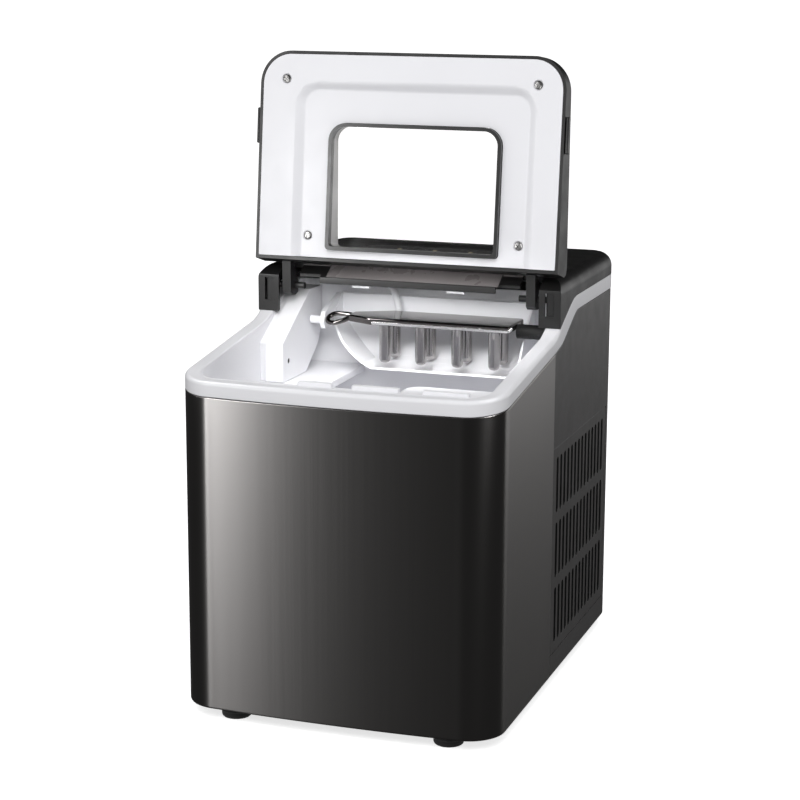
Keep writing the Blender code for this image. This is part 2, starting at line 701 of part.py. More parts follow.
def make_sensor_housing(white, black, silver):
    left, right = -108.7 * MM, -88 * MM
    step = -103 * MM
    outer = [(-38, 227.8), (9, 227.8), (36, 247), (42.5, 257.5), (42.5, 291.5), (19, 291.5), (-38, 258.2)]
    inner = [(-36, 229.8), (8.4, 229.8), (34.6, 248.5), (40.5, 258.2), (40.5, 289.5), (19.5, 289.5), (-36, 257.1)]
    housing = across("sensor_housing", [in_mm(outer)], step, right)
    boolean(housing, as_cutter(across("housing_hollow", [in_mm(inner)], step - 1 * MM, right - 2 * MM)))
    outer = [(-34, 227.8), (9, 227.8), (36, 247), (42.5, 257.5), (42.5, 288.5), (20, 288.5), (-34, 257)]
    inner = [(-32, 229.8), (8.4, 229.8), (34.6, 248.5), (40.5, 258.2), (40.5, 286.5), (20.5, 286.5), (-32, 255.8)]
    side_step = across("housing_step", [in_mm(outer), in_mm(inner)], left, step + 0.5 * MM)
    boolean(housing, as_cutter(side_step), "UNION")
    lens_place = (right - 1 * MM, -26.5 * MM, 242.8 * MM)
    boolean(housing, as_cutter(rod("lens_hole", lens_place, 2.3 * MM, 6 * MM, "X", 16)))
    shaft_place = (right, TRAY_Y, TRAY_Z)
    boolean(housing, as_cutter(rod("shaft_hole", shaft_place, 3.6 * MM, 10 * MM, "X", 16)))
    place(housing, white)
    lens_place = (right - 2 * MM, -26.5 * MM, 242.8 * MM)
    place(rod("infrared_lens", lens_place, 2 * MM, 3 * MM, "X", 16), black)
    motor = box("tray_motor", (step + 0.6 * MM, 2 * MM, 0.254), (right - 2.4 * MM, 28 * MM, 0.2795))
    place(bevel(motor, 1 * MM), silver)


# ---------------------------------------------------------------- machinery


def make_machinery(black, metal, grey, white):
    profile = [(0, 140), (16, 139), (34, 133), (44, 120), (46, 104), (46, 18), (43, 4), (38, 0), (0, 0)]
    can = turned("compressor", in_mm(profile), (-45 * MM, 111 * MM, 12.8 * MM))
    place(can, black)
    core = box("condenser", (0.084, 0.062, 0.03), (0.11, 0.158, 0.17))
    place(bevel(core, 1 * MM), metal)
    hole = arc((0.11, 0.1), 0.047, 0, 345, 23)
    shroud = across("fan_shroud", [rounded(0.06, 0.16, 0.045, 0.155, [4 * MM] * 4, 2), hole], 0.0745, 0.082)
    place(shroud, black)
    motor = rod("fan_motor", (0.0505, 0.11, 0.1), 17 * MM, 22 * MM, "X")
    bracket = box("fan_bracket", (0.042, 0.102, 12.8 * MM), (0.058, 0.118, 0.09))
    place(boolean(motor, as_cutter(bracket), "UNION"), grey)
    make_fan(black)
    profile = [(0, 48), (10, 48), (10, 40), (19, 38), (19, 0), (0, 0)]
    pump = turned("water_pump", in_mm(profile), (-0.06, -0.09, 12.8 * MM))
    place(pump, black)
    hose = [(-60, -90, 61.2), (-60, -90, 70), (-59, -88, 82), (-54, -82, 96), (-52, -80, 106), (-52, -80, 117)]
    place(pipe("water_hose", hose, 4 * MM), white)
    stem = rod("float_stem", (0.07, -0.02, 0.1453), 2 * MM, 50 * MM, sides=12)
    place(stem, white)
    ring = turned("water_float", in_mm([(2.6, 6), (9, 6), (9, -6), (2.6, -6), (2.6, 6)]), (0.07, -0.02, 0.1275))
    place(ring, grey)
    gland = rod("cord_gland", (84 * MM, BACK - 4 * MM, 34 * MM), 7.6 * MM, 7 * MM, "Y")
    boolean(gland, as_cutter(rod("gland_bore", (84 * MM, BACK, 34 * MM), 4 * MM, 30 * MM, "Y")))
    place(gland, black)
    place(rod("drain_spout", (-88 * MM, 0.1492, 34 * MM), 6 * MM, 10 * MM, "Y"), white)
    place(bevel(rod("drain_cap", (-88 * MM, 0.1612, 34 * MM), 8.6 * MM, 13 * MM, "Y", 20), 1 * MM), black)


def make_fan(black):
    """Hub with five pitched blades, turning about X."""
    centre = Vector((0.0675, 0.11, 0.1))
    hub = rod("fan", centre, 12 * MM, 9 * MM, "X", 20)
    for number in range(5):
        blade = box("fan_blade", (-0.9 * MM, -10 * MM, 8 * MM), (0.9 * MM, 10 * MM, 44 * MM))
        blade.location = (0, 0, 0)
        pitch = Matrix.Rotation(math.radians(28), 4, "Z")
        lift = Matrix.Translation((0, 0, 26 * MM))
        turn = Matrix.Rotation(math.radians(72 * number), 4, "X")
        blade.matrix_world = Matrix.Translation(centre) @ turn @ lift @ pitch
        boolean(hub, as_cutter(blade), "UNION")
    place(hub, black)


# ---------------------------------------------------------------- whole object


def main():
    clear_scene()
    steel = material("brushed_dark_steel", (0.06, 0.06, 0.06), 0.3, 1.0)
    grey = material("dark_grey_plastic", (0.09, 0.088, 0.088), 0.5)
    black = material("black_plastic", (0.02, 0.02, 0.02), 0.45)
    glossy = material("glossy_panel", (0.05, 0.045, 0.045), 0.12)
    white = material("white_plastic", (0.86, 0.86, 0.88), 0.35)
    light_grey = material("light_grey_plastic", (0.6, 0.6, 0.6), 0.4)
    rubber = material("black_rubber", (0.015, 0.015, 0.015), 0.8)
    chrome = material("polished_nickel", (0.55, 0.54, 0.53), 0.1, 1.0)
    metal = material("aluminium", (0.6, 0.6, 0.62), 0.4, 1.0)
    clear = material("clear_plastic", (0.95, 0.95, 0.95), 0.05, 0.0, 1.0)
    amber = material("indicator_lens", (0.8, 0.75, 0.6), 0.3)
    green = material("circuit_board", (0.03, 0.2, 0.08), 0.5)

    make_casing(steel, grey, black, rubber)
    make_vents(grey)
    make_basin(white)
    make_cover(black, glossy, white)
    make_controls(glossy, metal, amber, green)
    lid_frame = empty("lid_hinge", (0, HINGE_Y, HINGE_Z), LID_LEAN)
    make_lid(lid_frame, black, white, rubber, clear, light_grey, metal)
    make_hinge_pins(metal)
    make_evaporator(chrome, black, white)
    tray_frame = empty("tray_axis", (0, TRAY_Y, TRAY_Z))
    make_tray(tray_frame, white, metal)
    make_sensor_housing(white, black, metal)
    make_machinery(black, metal, light_grey, white)


main()
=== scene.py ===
import json
import math

import bmesh
import bpy
from mathutils import Matrix, Vector


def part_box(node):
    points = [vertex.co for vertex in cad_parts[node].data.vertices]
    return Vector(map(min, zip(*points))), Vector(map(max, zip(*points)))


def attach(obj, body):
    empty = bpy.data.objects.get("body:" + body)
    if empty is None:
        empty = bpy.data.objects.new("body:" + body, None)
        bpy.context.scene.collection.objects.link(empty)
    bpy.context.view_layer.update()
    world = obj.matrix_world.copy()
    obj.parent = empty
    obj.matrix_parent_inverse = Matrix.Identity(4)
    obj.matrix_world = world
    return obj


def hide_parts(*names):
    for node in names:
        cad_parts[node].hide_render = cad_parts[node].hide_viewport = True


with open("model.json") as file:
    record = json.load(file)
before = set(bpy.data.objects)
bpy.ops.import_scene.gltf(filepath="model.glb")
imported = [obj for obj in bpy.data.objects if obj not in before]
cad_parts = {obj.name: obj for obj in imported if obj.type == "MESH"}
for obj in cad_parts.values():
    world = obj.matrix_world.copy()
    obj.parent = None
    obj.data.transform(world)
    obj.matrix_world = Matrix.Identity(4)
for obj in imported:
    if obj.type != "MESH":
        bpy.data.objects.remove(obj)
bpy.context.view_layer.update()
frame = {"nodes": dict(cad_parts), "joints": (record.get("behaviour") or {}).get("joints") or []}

MM = 0.001
GAP = 0.3 * MM

# Casing, basin and cover
SEAM_GAP = 0.5 * MM
SIDE_X = 121 * MM
FRONT = -165 * MM
BOW = 2.8 * MM
BACK = 167.8 * MM
FRONT_RADIUS = 28 * MM
BACK_RADIUS = 20 * MM
SEAM_Y = -19 * MM
RIM_WIDTH = 12 * MM
BASIN_BACK = 54.5 * MM
BASIN_FLOOR = 120 * MM
COVER_TOP = 313.5 * MM
COVER_WALL = 2.5 * MM

# Lower and upper edge of the white band, as (y, z) in millimetres
BAND_LOW = [(-180, 240.2), (-19, 261.1), (0, 264.8), (21, 274.9), (35, 281.8), (43, 284.2), (180, 284.2)]
BAND_HIGH = [(-180, 251.6), (-19, 272.5), (-8, 276.6), (22, 290.6), (31, 294.2), (39, 295.6), (180, 295.6)]

# Lid, in its own frame, which turns about the hinge
joints = {joint["name"]: joint for joint in frame["joints"]}
HINGE = Vector(joints["lid_hinge"]["pos_m"])
LID_LEAN = math.radians(-96.2)
LID = Matrix.Translation(HINGE) @ Matrix.Rotation(LID_LEAN, 4, "X")
TRAY = Matrix.Translation(Vector(joints["tray_turn"]["pos_m"]))
LID_HALF = 120 * MM
LID_FAR = -178.3 * MM
LID_RADIUS = 25 * MM
LID_FACE = -19.6 * MM
WINDOW_LEFT = -63.5 * MM
WINDOW_RIGHT = 73 * MM
WINDOW_NEAR = -29 * MM
WINDOW_FAR = -125.5 * MM
LINER_NEAR = -23.1 * MM
ARM_X = 97.5 * MM
ARM_WIDTH = 7 * MM

# Evaporator fingers and water tray, the tray measured from its axis
FINGER_X = -20
FINGER_STEP = 29.1
FINGER_ROWS = (2, 24.6)
FINGER_TIP = 241 * MM
TRAY_INNER = 34 * MM
TRAY_WALL = 1.6 * MM
TRAY_OUTER = TRAY_INNER + TRAY_WALL
TRAY_LEFT = -73 * MM
TRAY_RIGHT = 86 * MM
TRAY_ROUND = 14 * MM
SWEEP_WIDTH = 46 * MM
SWEEP_HEIGHT = 41 * MM
SWEEP_POWER = 1.35
SWEEP_STEPS = 32

# Further than any piece reaches, for cutters that go right through
REACH = 0.2


# ---------------------------------------------------------------- node materials


def shader_nodes(name):
    """New node material, with its tree, its Principled shader and object coordinates."""
    mat = bpy.data.materials.new(name)
    mat.use_nodes = True
    tree = mat.node_tree
    coords = tree.nodes.new("ShaderNodeTexCoord")
    return mat, tree, tree.nodes["Principled BSDF"], coords.outputs["Object"]


def scaled(tree, vector, scale):
    node = tree.nodes.new("ShaderNodeMapping")
    node.inputs["Scale"].default_value = scale
    tree.links.new(vector, node.inputs["Vector"])
    return node.outputs["Vector"]


def noise(tree, vector, scale, detail=3.0, roughness=0.5):
    node = tree.nodes.new("ShaderNodeTexNoise")
    node.inputs["Scale"].default_value = scale
    node.inputs["Detail"].default_value = detail
    node.inputs["Roughness"].default_value = roughness
    tree.links.new(vector, node.inputs["Vector"])
    return node.outputs["Fac"]


def remap(tree, value, low, high, start=0.3, end=0.7):
    node = tree.nodes.new("ShaderNodeMapRange")
    node.inputs["From Min"].default_value = start
    node.inputs["From Max"].default_value = end
    node.inputs["To Min"].default_value = low
    node.inputs["To Max"].default_value = high
    tree.links.new(value, node.inputs["Value"])
    return node.outputs["Result"]


def ramp(tree, value, low, high):
    """Colour that runs between two shades as a value goes from 0.3 to 0.7."""
    node = tree.nodes.new("ShaderNodeValToRGB")
    node.color_ramp.elements[0].position = 0.3
    node.color_ramp.elements[0].color = (*low, 1)
    node.color_ramp.elements[1].position = 0.7
    node.color_ramp.elements[1].color = (*high, 1)
    tree.links.new(value, node.inputs["Fac"])
    return node.outputs["Color"]


def bump(tree, shader, height, strength, distance):
    node = tree.nodes.new("ShaderNodeBump")
    node.inputs["Strength"].default_value = strength
    node.inputs["Distance"].default_value = distance
    tree.links.new(height, node.inputs["Height"])
    tree.links.new(node.outputs["Normal"], shader.inputs["Normal"])


def moulded(name, low, high, roughness, grain=900, depth=0.15, coat=0.0, sheen=0.0, spread=0.06):
    """Moulded plastic or rubber: slow colour drift, a fine grain and uneven gloss."""
    mat, tree, shader, where = shader_nodes(name)
    slow = noise(tree, where, 14, 2)
    fine = noise(tree, where, grain, 3, 0.6)
    tree.links.new(ramp(tree, slow, low, high), shader.inputs["Base Color"])
    rough = remap(tree, noise(tree, where, 60, 4), roughness - spread, roughness + spread)
    tree.links.new(rough, shader.inputs["Roughness"])
    shader.inputs["Coat Weight"].default_value = coat
    shader.inputs["Coat Roughness"].default_value = 0.12
    shader.inputs["Sheen Weight"].default_value = sheen
    bump(tree, shader, fine, depth, 0.00004)
    return mat


def brushed(name, low, high, roughness, stretch, depth=0.12, spread=0.05, pull=0.0):
    """Metal with fine lines along one axis: the stretch is small along the lines, the pull is across them."""
    mat, tree, shader, where = shader_nodes(name)
    lines = noise(tree, scaled(tree, where, stretch), 60, 4, 0.7)
    slow = noise(tree, where, 9, 2)
    shader.inputs["Metallic"].default_value = 1.0
    tree.links.new(ramp(tree, slow, low, high), shader.inputs["Base Color"])
    tree.links.new(remap(tree, lines, roughness - spread, roughness + spread), shader.inputs["Roughness"])
    bump(tree, shader, lines, depth, 0.00002)
    if pull:
        around = tree.nodes.new("ShaderNodeTangent")
        around.direction_type = "RADIAL"
        around.axis = "Z"
        tree.links.new(around.outputs["Tangent"], shader.inputs["Tangent"])
        shader.inputs["Anisotropic"].default_value = pull
        shader.inputs["Anisotropic Rotation"].default_value = 0.25
    return mat


def polished(name, low, high, roughness):
    """Plated metal: bright, with faint waves and wipe marks in its gloss."""
    mat, tree, shader, where = shader_nodes(name)
    marks = noise(tree, scaled(tree, where, (1, 1, 4)), 90, 5, 0.65)
    slow = noise(tree, where, 25, 2)
    shader.inputs["Metallic"].default_value = 1.0
    tree.links.new(ramp(tree, slow, low, high), shader.inputs["Base Color"])
    tree.links.new(remap(tree, marks, roughness * 0.6, roughness * 1.5), shader.inputs["Roughness"])
    bump(tree, shader, slow, 0.08, 0.0002)
    return mat


def clear_plastic(name):
    mat, tree, shader, where = shader_nodes(name)
    haze = noise(tree, where, 40, 4)
    shader.inputs["Base Color"].default_value = (0.97, 0.96, 0.96, 1)
    shader.inputs["Transmission Weight"].default_value = 1.0
    shader.inputs["IOR"].default_value = 1.3
    tree.links.new(remap(tree, haze, 0.01, 0.06), shader.inputs["Roughness"])
    return mat


def make_materials():
    made = {}
    upright = (14, 14, 0.05)
    made["steel"] = brushed(
        "dark_steel", (0.3, 0.289, 0.284), (0.31, 0.299, 0.294), 0.29, upright, 0.006, 0.01, pull=0.85
    )
    made["side"] = moulded("side_grey", (0.072, 0.069, 0.069), (0.076, 0.073, 0.073), 0.42, 1400, 0.1)
    made["black"] = moulded("satin_black", (0.008, 0.0078, 0.0078), (0.011, 0.0107, 0.0107), 0.42, 1500, 0.16)
    made["inner_black"] = moulded("inner_black", (0.004, 0.004, 0.004), (0.007, 0.007, 0.007), 0.62, 900, 0.2)
    made["strip"] = moulded("glossy_strip", (0.17, 0.155, 0.155), (0.19, 0.175, 0.175), 0.3, 500, 0.03, 0.6)
    made["panel"] = moulded("glossy_panel", (0.012, 0.012, 0.013), (0.018, 0.018, 0.02), 0.1, 500, 0.02, 0.8)
    made["white"] = moulded("white_plastic", (0.86, 0.86, 0.885), (0.875, 0.875, 0.9), 0.4, 1200, 0.06)
    # The liner and rim whites are darker copies of white_plastic, with shade painted in where more light falls
    # on the lid liner and the basin rim.
    made["liner"] = moulded("liner_white_painted_shade", (0.82, 0.82, 0.85), (0.835, 0.835, 0.865), 0.45, 1200, 0.06)
    made["rim"] = moulded("rim_white_painted_shade", (0.76, 0.76, 0.785), (0.775, 0.775, 0.8), 0.4, 1200, 0.06)
    made["grey"] = moulded("light_grey_plastic", (0.46, 0.455, 0.45), (0.52, 0.515, 0.51), 0.35, 900, 0.08)
    made["rubber"] = moulded(
        "black_rubber", (0.01, 0.01, 0.01), (0.018, 0.018, 0.018), 0.68, 1600, 0.3, sheen=0.2
    )
    made["gasket"] = moulded("gasket_black", (0.012, 0.012, 0.012), (0.018, 0.018, 0.018), 0.35, 1600, 0.1)
    # A darker copy of the posts' nickel, with the evaporator plate's dark reflection painted in as shade; the
    # tube loop uses it too.
    made["nickel"] = polished("nickel_painted_shade", (0.14, 0.13, 0.127), (0.2, 0.188, 0.183), 0.08)
    made["posts"] = polished("nickel_posts", (0.42, 0.405, 0.4), (0.5, 0.485, 0.48), 0.07)
    # A light copy of the nickel, used as a painted highlight along the evaporator plate's front edge.
    made["bright"] = polished("nickel_painted_highlight", (0.9, 0.89, 0.88), (0.95, 0.94, 0.93), 0.2)
    made["screw"] = polished("screw_steel", (0.3, 0.295, 0.29), (0.38, 0.375, 0.37), 0.36)
    made["alloy"] = brushed("satin_alloy", (0.55, 0.55, 0.56), (0.62, 0.62, 0.63), 0.32, (14, 0.4, 0.4), 0.1)
    made["fins"] = brushed("fin_stock", (0.6, 0.6, 0.62), (0.7, 0.7, 0.72), 0.3, (0.3, 30, 0.3), 0.6)
    made["clear"] = clear_plastic("clear_window")
    made["lens"] = moulded("indicator_lens", (0.5, 0.44, 0.3), (0.56, 0.5, 0.36), 0.2, 800, 0.05, 0.4)
    made["board"] = moulded("circuit_board", (0.01, 0.09, 0.03), (0.02, 0.14, 0.05), 0.4, 300, 0.3)
    return made


# ---------------------------------------------------------------- mesh helpers


def mesh_object(name, verts, faces):
    mesh = bpy.data.meshes.new(name)
    mesh.from_pydata([tuple(v) for v in verts], [], faces)
    mesh.update()
    obj = bpy.data.objects.new(name, mesh)
    bpy.context.scene.collection.objects.link(obj)
    bm = bmesh.new()
    bm.from_mesh(mesh)
    bmesh.ops.recalc_face_normals(bm, faces=bm.faces)
    bm.to_mesh(mesh)
    bm.free()
    return obj


def skin(name, rings, stacked=False, caps=False):
    """Surface through rings that all have the same count. Stacked rings close into a loop."""
    count = len(rings[0])
    verts = [point for ring in rings for point in ring]
    faces = []
    last = len(rings) if stacked else len(rings) - 1
    for i in range(last):
        this, after = i * count, (i + 1) % len(rings) * count
        for k in range(count):
            ahead = (k + 1) % count
            faces.append((this + k, this + ahead, after + ahead, after + k))
    if caps:
        faces.append(tuple(range(count)))
        faces.append(tuple((len(rings) - 1) * count + k for k in range(count)))
    return mesh_object(name, verts, faces)


def bake(obj):
    """Applies every modifier of an object."""
    bpy.context.view_layer.update()
    graph = bpy.context.evaluated_depsgraph_get()
    mesh = bpy.data.meshes.new_from_object(obj.evaluated_get(graph))
    obj.modifiers.clear()
    obj.data = mesh
    return obj


def cut(obj, cutter, operation="DIFFERENCE"):
    """Boolean with a second object, which is used up."""
    mod = obj.modifiers.new("cut", "BOOLEAN")
    mod.operation = operation
    mod.solver = "EXACT"
    mod.object = cutter
    bake(obj)
    bpy.data.objects.remove(cutter, do_unlink=True)
    return obj


def soften(obj, width, segments=3, angle=35):
    """Rounds every edge sharper than an angle."""
    mod = obj.modifiers.new("soften", "BEVEL")
    mod.width = width
    mod.segments = segments
    mod.limit_method = "ANGLE"
    mod.angle_limit = math.radians(angle)
    mod.miter_outer = "MITER_ARC"
    return bake(obj)


def show(obj, mat, body, *nodes, angle=38):
    """Smooth shading, material, the body it rides on and the CAD nodes it stands for."""
    obj.data.materials.clear()
    obj.data.materials.append(mat)
    obj.data.shade_smooth()
    obj.data.set_sharp_from_angle(angle=math.radians(angle))
    mod = obj.modifiers.new("normals", "WEIGHTED_NORMAL")
    mod.keep_sharp = True
    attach(obj, body)
    if nodes:
        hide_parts(*nodes)
    return obj


def prism(name, loops, low, high, matrix=None):
    """Extrudes closed flat loops between two heights. The first is the outline, the rest are holes."""
    curve = bpy.data.curves.new(name, "CURVE")
    curve.dimensions = "2D"
    curve.fill_mode = "BOTH"
    curve.extrude = (high - low) / 2
    for loop in loops:
        spline = curve.splines.new("POLY")
        spline.points.add(len(loop) - 1)
        for point, (x, y) in zip(spline.points, loop):
            point.co = (x, y, 0, 1)
        spline.use_cyclic_u = True
    source = bpy.data.objects.new(name + "_curve", curve)
    bpy.context.scene.collection.objects.link(source)
    bpy.context.view_layer.update()
    graph = bpy.context.evaluated_depsgraph_get()
    mesh = bpy.data.meshes.new_from_object(source.evaluated_get(graph))
    bpy.data.objects.remove(source, do_unlink=True)
    lift = Matrix.Translation((0, 0, (low + high) / 2))
    mesh.transform((matrix or Matrix.Identity(4)) @ lift)
    bm = bmesh.new()
    bm.from_mesh(mesh)
    bmesh.ops.remove_doubles(bm, verts=bm.verts, dist=0.000001)
    bmesh.ops.recalc_face_normals(bm, faces=bm.faces)
    bm.to_mesh(mesh)
    bm.free()
    obj = bpy.data.objects.new(name, mesh)
    bpy.context.scene.collection.objects.link(obj)
    return obj


ACROSS = Matrix(((0, 0, 1, 0), (1, 0, 0, 0), (0, 1, 0, 0), (0, 0, 0, 1)))
ALONG = Matrix(((1, 0, 0, 0), (0, 0, -1, 0), (0, 1, 0, 0), (0, 0, 0, 1)))


def across(name, loops, low, high, matrix=Matrix.Identity(4)):
    """Extrudes loops given as (y, z) along X."""
    return prism(name, loops, low, high, matrix @ ACROSS)


def along(name, loops, low, high, matrix=Matrix.Identity(4)):
    """Extrudes loops given as (x, z) along Y."""
    return prism(name, loops, -high, -low, matrix @ ALONG)


def in_mm(points):
    return [(a * MM, b * MM) for a, b in points]


def block(name, low, high, matrix=Matrix.Identity(4)):
    """Box between two corners."""
    outline = [(low[0], low[1]), (high[0], low[1]), (high[0], high[1]), (low[0], high[1])]
    return prism(name, [outline], low[2], high[2], matrix)


def arc(centre, radius, start, end, steps):
    points = []
    for step in range(steps + 1):
        angle = math.radians(start + (end - start) * step / steps)
        points.append((centre[0] + radius * math.cos(angle), centre[1] + radius * math.sin(angle)))
    return points


def rounded(x0, x1, y0, y1, radii, steps=12):
    """Rectangle with its own radius at each corner, from low-left and anticlockwise."""
    corners = [(x0, y0, 1, 1, 180), (x1, y0, -1, 1, 270), (x1, y1, -1, -1, 0), (x0, y1, 1, -1, 90)]
    points = []
    for (x, y, sx, sy, start), radius in zip(corners, radii):
        centre = (x + sx * radius, y + sy * radius)
        points += arc(centre, radius, start, start + 90, steps)
    return points


def turn(name, profile, centre, axis="Z", steps=48):
    """Turned piece. Its profile of (radius, height) starts and ends on the axis, or closes on itself."""
    spin = {"X": Matrix.Rotation(math.pi / 2, 4, "Y"), "Y": Matrix.Rotation(-math.pi / 2, 4, "X")}
    matrix = Matrix.Translation(centre) @ spin.get(axis, Matrix.Identity(4))
    rings = []
    for radius, height in profile:
        ring = []
        for step in range(steps):
            angle = 2 * math.pi * step / steps
            ring.append(matrix @ Vector((radius * math.cos(angle), radius * math.sin(angle), height)))
        rings.append(ring)
    obj = skin(name, rings)
    bm = bmesh.new()
    bm.from_mesh(obj.data)
    bmesh.ops.remove_doubles(bm, verts=bm.verts, dist=0.000005)
    bmesh.ops.recalc_face_normals(bm, faces=bm.faces)
    bm.to_mesh(obj.data)
    bm.free()
    return obj


def smooth_route(route, steps=8):
    """Catmull-Rom points through a route given in millimetres."""
    knots = [Vector(p) * MM for p in route]
    knots = [2 * knots[0] - knots[1]] + knots + [2 * knots[-1] - knots[-2]]
    points = []
    for i in range(1, len(knots) - 2):
        a, b, c, d = knots[i - 1 : i + 3]
        for step in range(steps):
            t = step / steps
            bend = (2 * a - 5 * b + 4 * c - d) * t * t + (3 * b - a - 3 * c + d) * t**3
            points.append((2 * b + (c - a) * t + bend) / 2)
    points.append(knots[-2])
    return points


def tube(name, route, radius, sides=16):
    """Round tube along a smooth route in millimetres, closed with a flat cap at each end."""
    points = smooth_route(route)
    rings = []
    normal = Vector((0.3, 0.2, 1)).normalized()
    for i, point in enumerate(points):
        ahead = points[min(i + 1, len(points) - 1)] - points[max(i - 1, 0)]
        ahead.normalize()
        normal = (normal - ahead * normal.dot(ahead)).normalized()
        side = ahead.cross(normal)
        ring = []
        for step in range(sides):
            angle = 2 * math.pi * step / sides
            ring.append(point + (normal * math.cos(angle) + side * math.sin(angle)) * radius)
        rings.append(ring)
    return skin(name, rings, caps=True)


# ---------------------------------------------------------------- casing outline


def height_on(line, y):
    for (y0, z0), (y1, z1) in zip(line, line[1:]):
        if y0 <= y <= y1:
            return z0 + (z1 - z0) * (y - y0) / (y1 - y0)
    return line[-1][1]


def level(line, y):
    """Height of a band edge at y in metres, with its bends eased."""
    reach = [-3.5, -2.2, -1, 0, 1, 2.2, 3.5]
    return sum(height_on(line, y / MM + step) for step in reach) / len(reach) * MM


def ease(value, start, end):
    t = min(1, max(0, (value - start) / (end - start)))
    return t * t * (3 - 2 * t)


def front_path(inset, seam=SEAM_Y):
    """Plan of the casing's front half, from the left seam round to the right one."""
    half = SIDE_X - inset
    radius = FRONT_RADIUS - inset
    front = FRONT + inset
    flat = half - radius
    sides = [seam + (front + radius - seam) * step / 24 for step in range(24)]
    points = [(-half, y) for y in sides]
    points += arc((-flat, front + radius), radius, 180, 270, 20)
    for step in range(1, 40):
        x = -flat + 2 * flat * step / 40
        points.append((x, front - BOW * (1 - (x / flat) ** 2)))
    points += arc((flat, front + radius), radius, 270, 360, 20)
    points += [(half, y) for y in reversed(sides)]
    return points


def rear_path(inset, seam=SEAM_Y):
    """Plan of the casing's rear half, from the right seam round to the left one."""
    half = SIDE_X - inset
    radius = max(BACK_RADIUS - inset, 1 * MM)
    rear = BACK - inset
    sides = [seam + (rear - radius - seam) * step / 50 for step in range(50)]
    points = [(half, y) for y in sides]
    points += arc((half - radius, rear - radius), radius, 0, 90, 14)
    points += arc((-half + radius, rear - radius), radius, 90, 180, 14)
    points += [(-half, y) for y in reversed(sides)]
    return points


def whole_path(inset):
    """Closed plan of the casing."""
    return front_path(inset) + rear_path(inset)[1:-1]


def wall(name, path, profile):
    """Wall along an open plan path. The profile gives (inset, height function) pairs and closes on itself."""
    plans = [path(inset) for inset, _ in profile]
    outer = path(0)
    rings = []
    for i in range(len(outer)):
        ring = []
        for plan, (_, height) in zip(plans, profile):
            ring.append((plan[i][0], plan[i][1], height(outer[i][1])))
        rings.append(ring)
    return skin(name, rings, caps=True)


def flat_at(height):
    return lambda y: height * MM


def under_band(drop):
    return lambda y: level(BAND_LOW, y) - drop * MM


# ---------------------------------------------------------------- casing


def make_front_wrap(mats):
    steps = [(2.2, 9.0), (1.2, 9.05), (0.5, 9.35), (0.12, 9.9), (0.0, 10.8)]
    profile = [(inset * MM, flat_at(z)) for inset, z in steps]
    profile += [(0.0, under_band(1.0)), (0.15 * MM, under_band(0.6)), (0.5 * MM, under_band(0.35))]
    profile += [(1.0 * MM, under_band(0.3)), (1.0 * MM, flat_at(10.8)), (2.2 * MM, flat_at(9.9))]
    wrap = wall("front_wrap", lambda inset: front_path(inset, SEAM_Y - SEAM_GAP), profile)
    show(wrap, mats["steel"], "cabinet", "front_shell")


def make_rear_wrap(mats):
    steps = [(1.2, 9.0), (0.6, 9.3), (0.3, 10.0)]
    profile = [(inset * MM, flat_at(z)) for inset, z in steps]
    profile += [(0.3 * MM, under_band(1.0)), (0.5 * MM, under_band(0.5)), (2.3 * MM, under_band(0.3))]
    profile += [(2.3 * MM, flat_at(9.0))]
    wrap = wall("rear_wrap", lambda inset: rear_path(inset, SEAM_Y + SEAM_GAP), profile)
    low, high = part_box("vent_grille_right")
    cut(wrap, block("side_window", (-0.2, -0.03, low[2] - GAP), (0.2, high[1] + GAP, high[2] + GAP)))
    low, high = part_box("vent_grille_rear")
    cut(wrap, block("rear_window", (low[0] - GAP, 0.14, low[2] - GAP), (high[0] + GAP, 0.2, high[2] + GAP)))
    for x, radius in ((-88, 9), (84, 8)):
        profile = [(0, -0.02), (radius * MM, -0.02), (radius * MM, 0.02), (0, 0.02)]
        cut(wrap, turn("cable_hole", profile, (x * MM, BACK, 34 * MM), "Y"))
    show(wrap, mats["side"], "cabinet", "rear_shell", angle=30)


def slot_loops(x0, x1, y0, y1, rows, lead, columns=14):
    loops = [rounded(x0, x1, y0, y1, [2 * MM] * 4, 4)]
    margin, spacing, width = 5.7 * MM, 8 * MM, 6 * MM
    pitch = (x1 - x0 - 2 * margin - lead) / columns
    row_pitch = (y1 - y0 - spacing) / rows
    radius = width / 2
    for row in range(rows):
        low = y0 + spacing + row * row_pitch + radius
        high = low + row_pitch - spacing - width
        for column in range(columns):
            x = x0 + margin + lead + (column + 0.5) * pitch
            loops.append(arc((x, high), radius, 0, 180, 8) + arc((x, low), radius, 180, 360, 8))
    return loops


def paint_slot_shade(panel, mat):
    """Paints shade on the slot walls and the rim of a grille with a second, near-black material, and leaves
    its two broad faces as they are.
    """
    panel.data.materials.append(mat)
    broad = min(range(3), key=lambda axis: panel.dimensions[axis])
    for face in panel.data.polygons:
        if abs(face.normal[broad]) < 0.35:
            face.material_index = 1


def make_grilles(mats):
    for side in ("left", "right"):
        low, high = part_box("vent_grille_" + side)
        loops = slot_loops(low[1], high[1], low[2], high[2], 3, 3.1 * MM)
        panel = across("side_grille_" + side, loops, low[0], high[0])
        soften(panel, 0.35 * MM, 2, 60)
        show(panel, mats["side"], "cabinet", "vent_grille_" + side)
        # Slot walls and rim get painted shade in the near-black material.
        paint_slot_shade(panel, mats["inner_black"])
    low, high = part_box("vent_grille_rear")
    loops = slot_loops(low[0], high[0], low[2], high[2], 2, 0)
    panel = along("back_grille", loops, low[1], high[1])
    soften(panel, 0.35 * MM, 2, 60)
    show(panel, mats["side"], "cabinet", "vent_grille_rear")
    # Slot walls and rim get painted shade in the near-black material.
    paint_slot_shade(panel, mats["inner_black"])


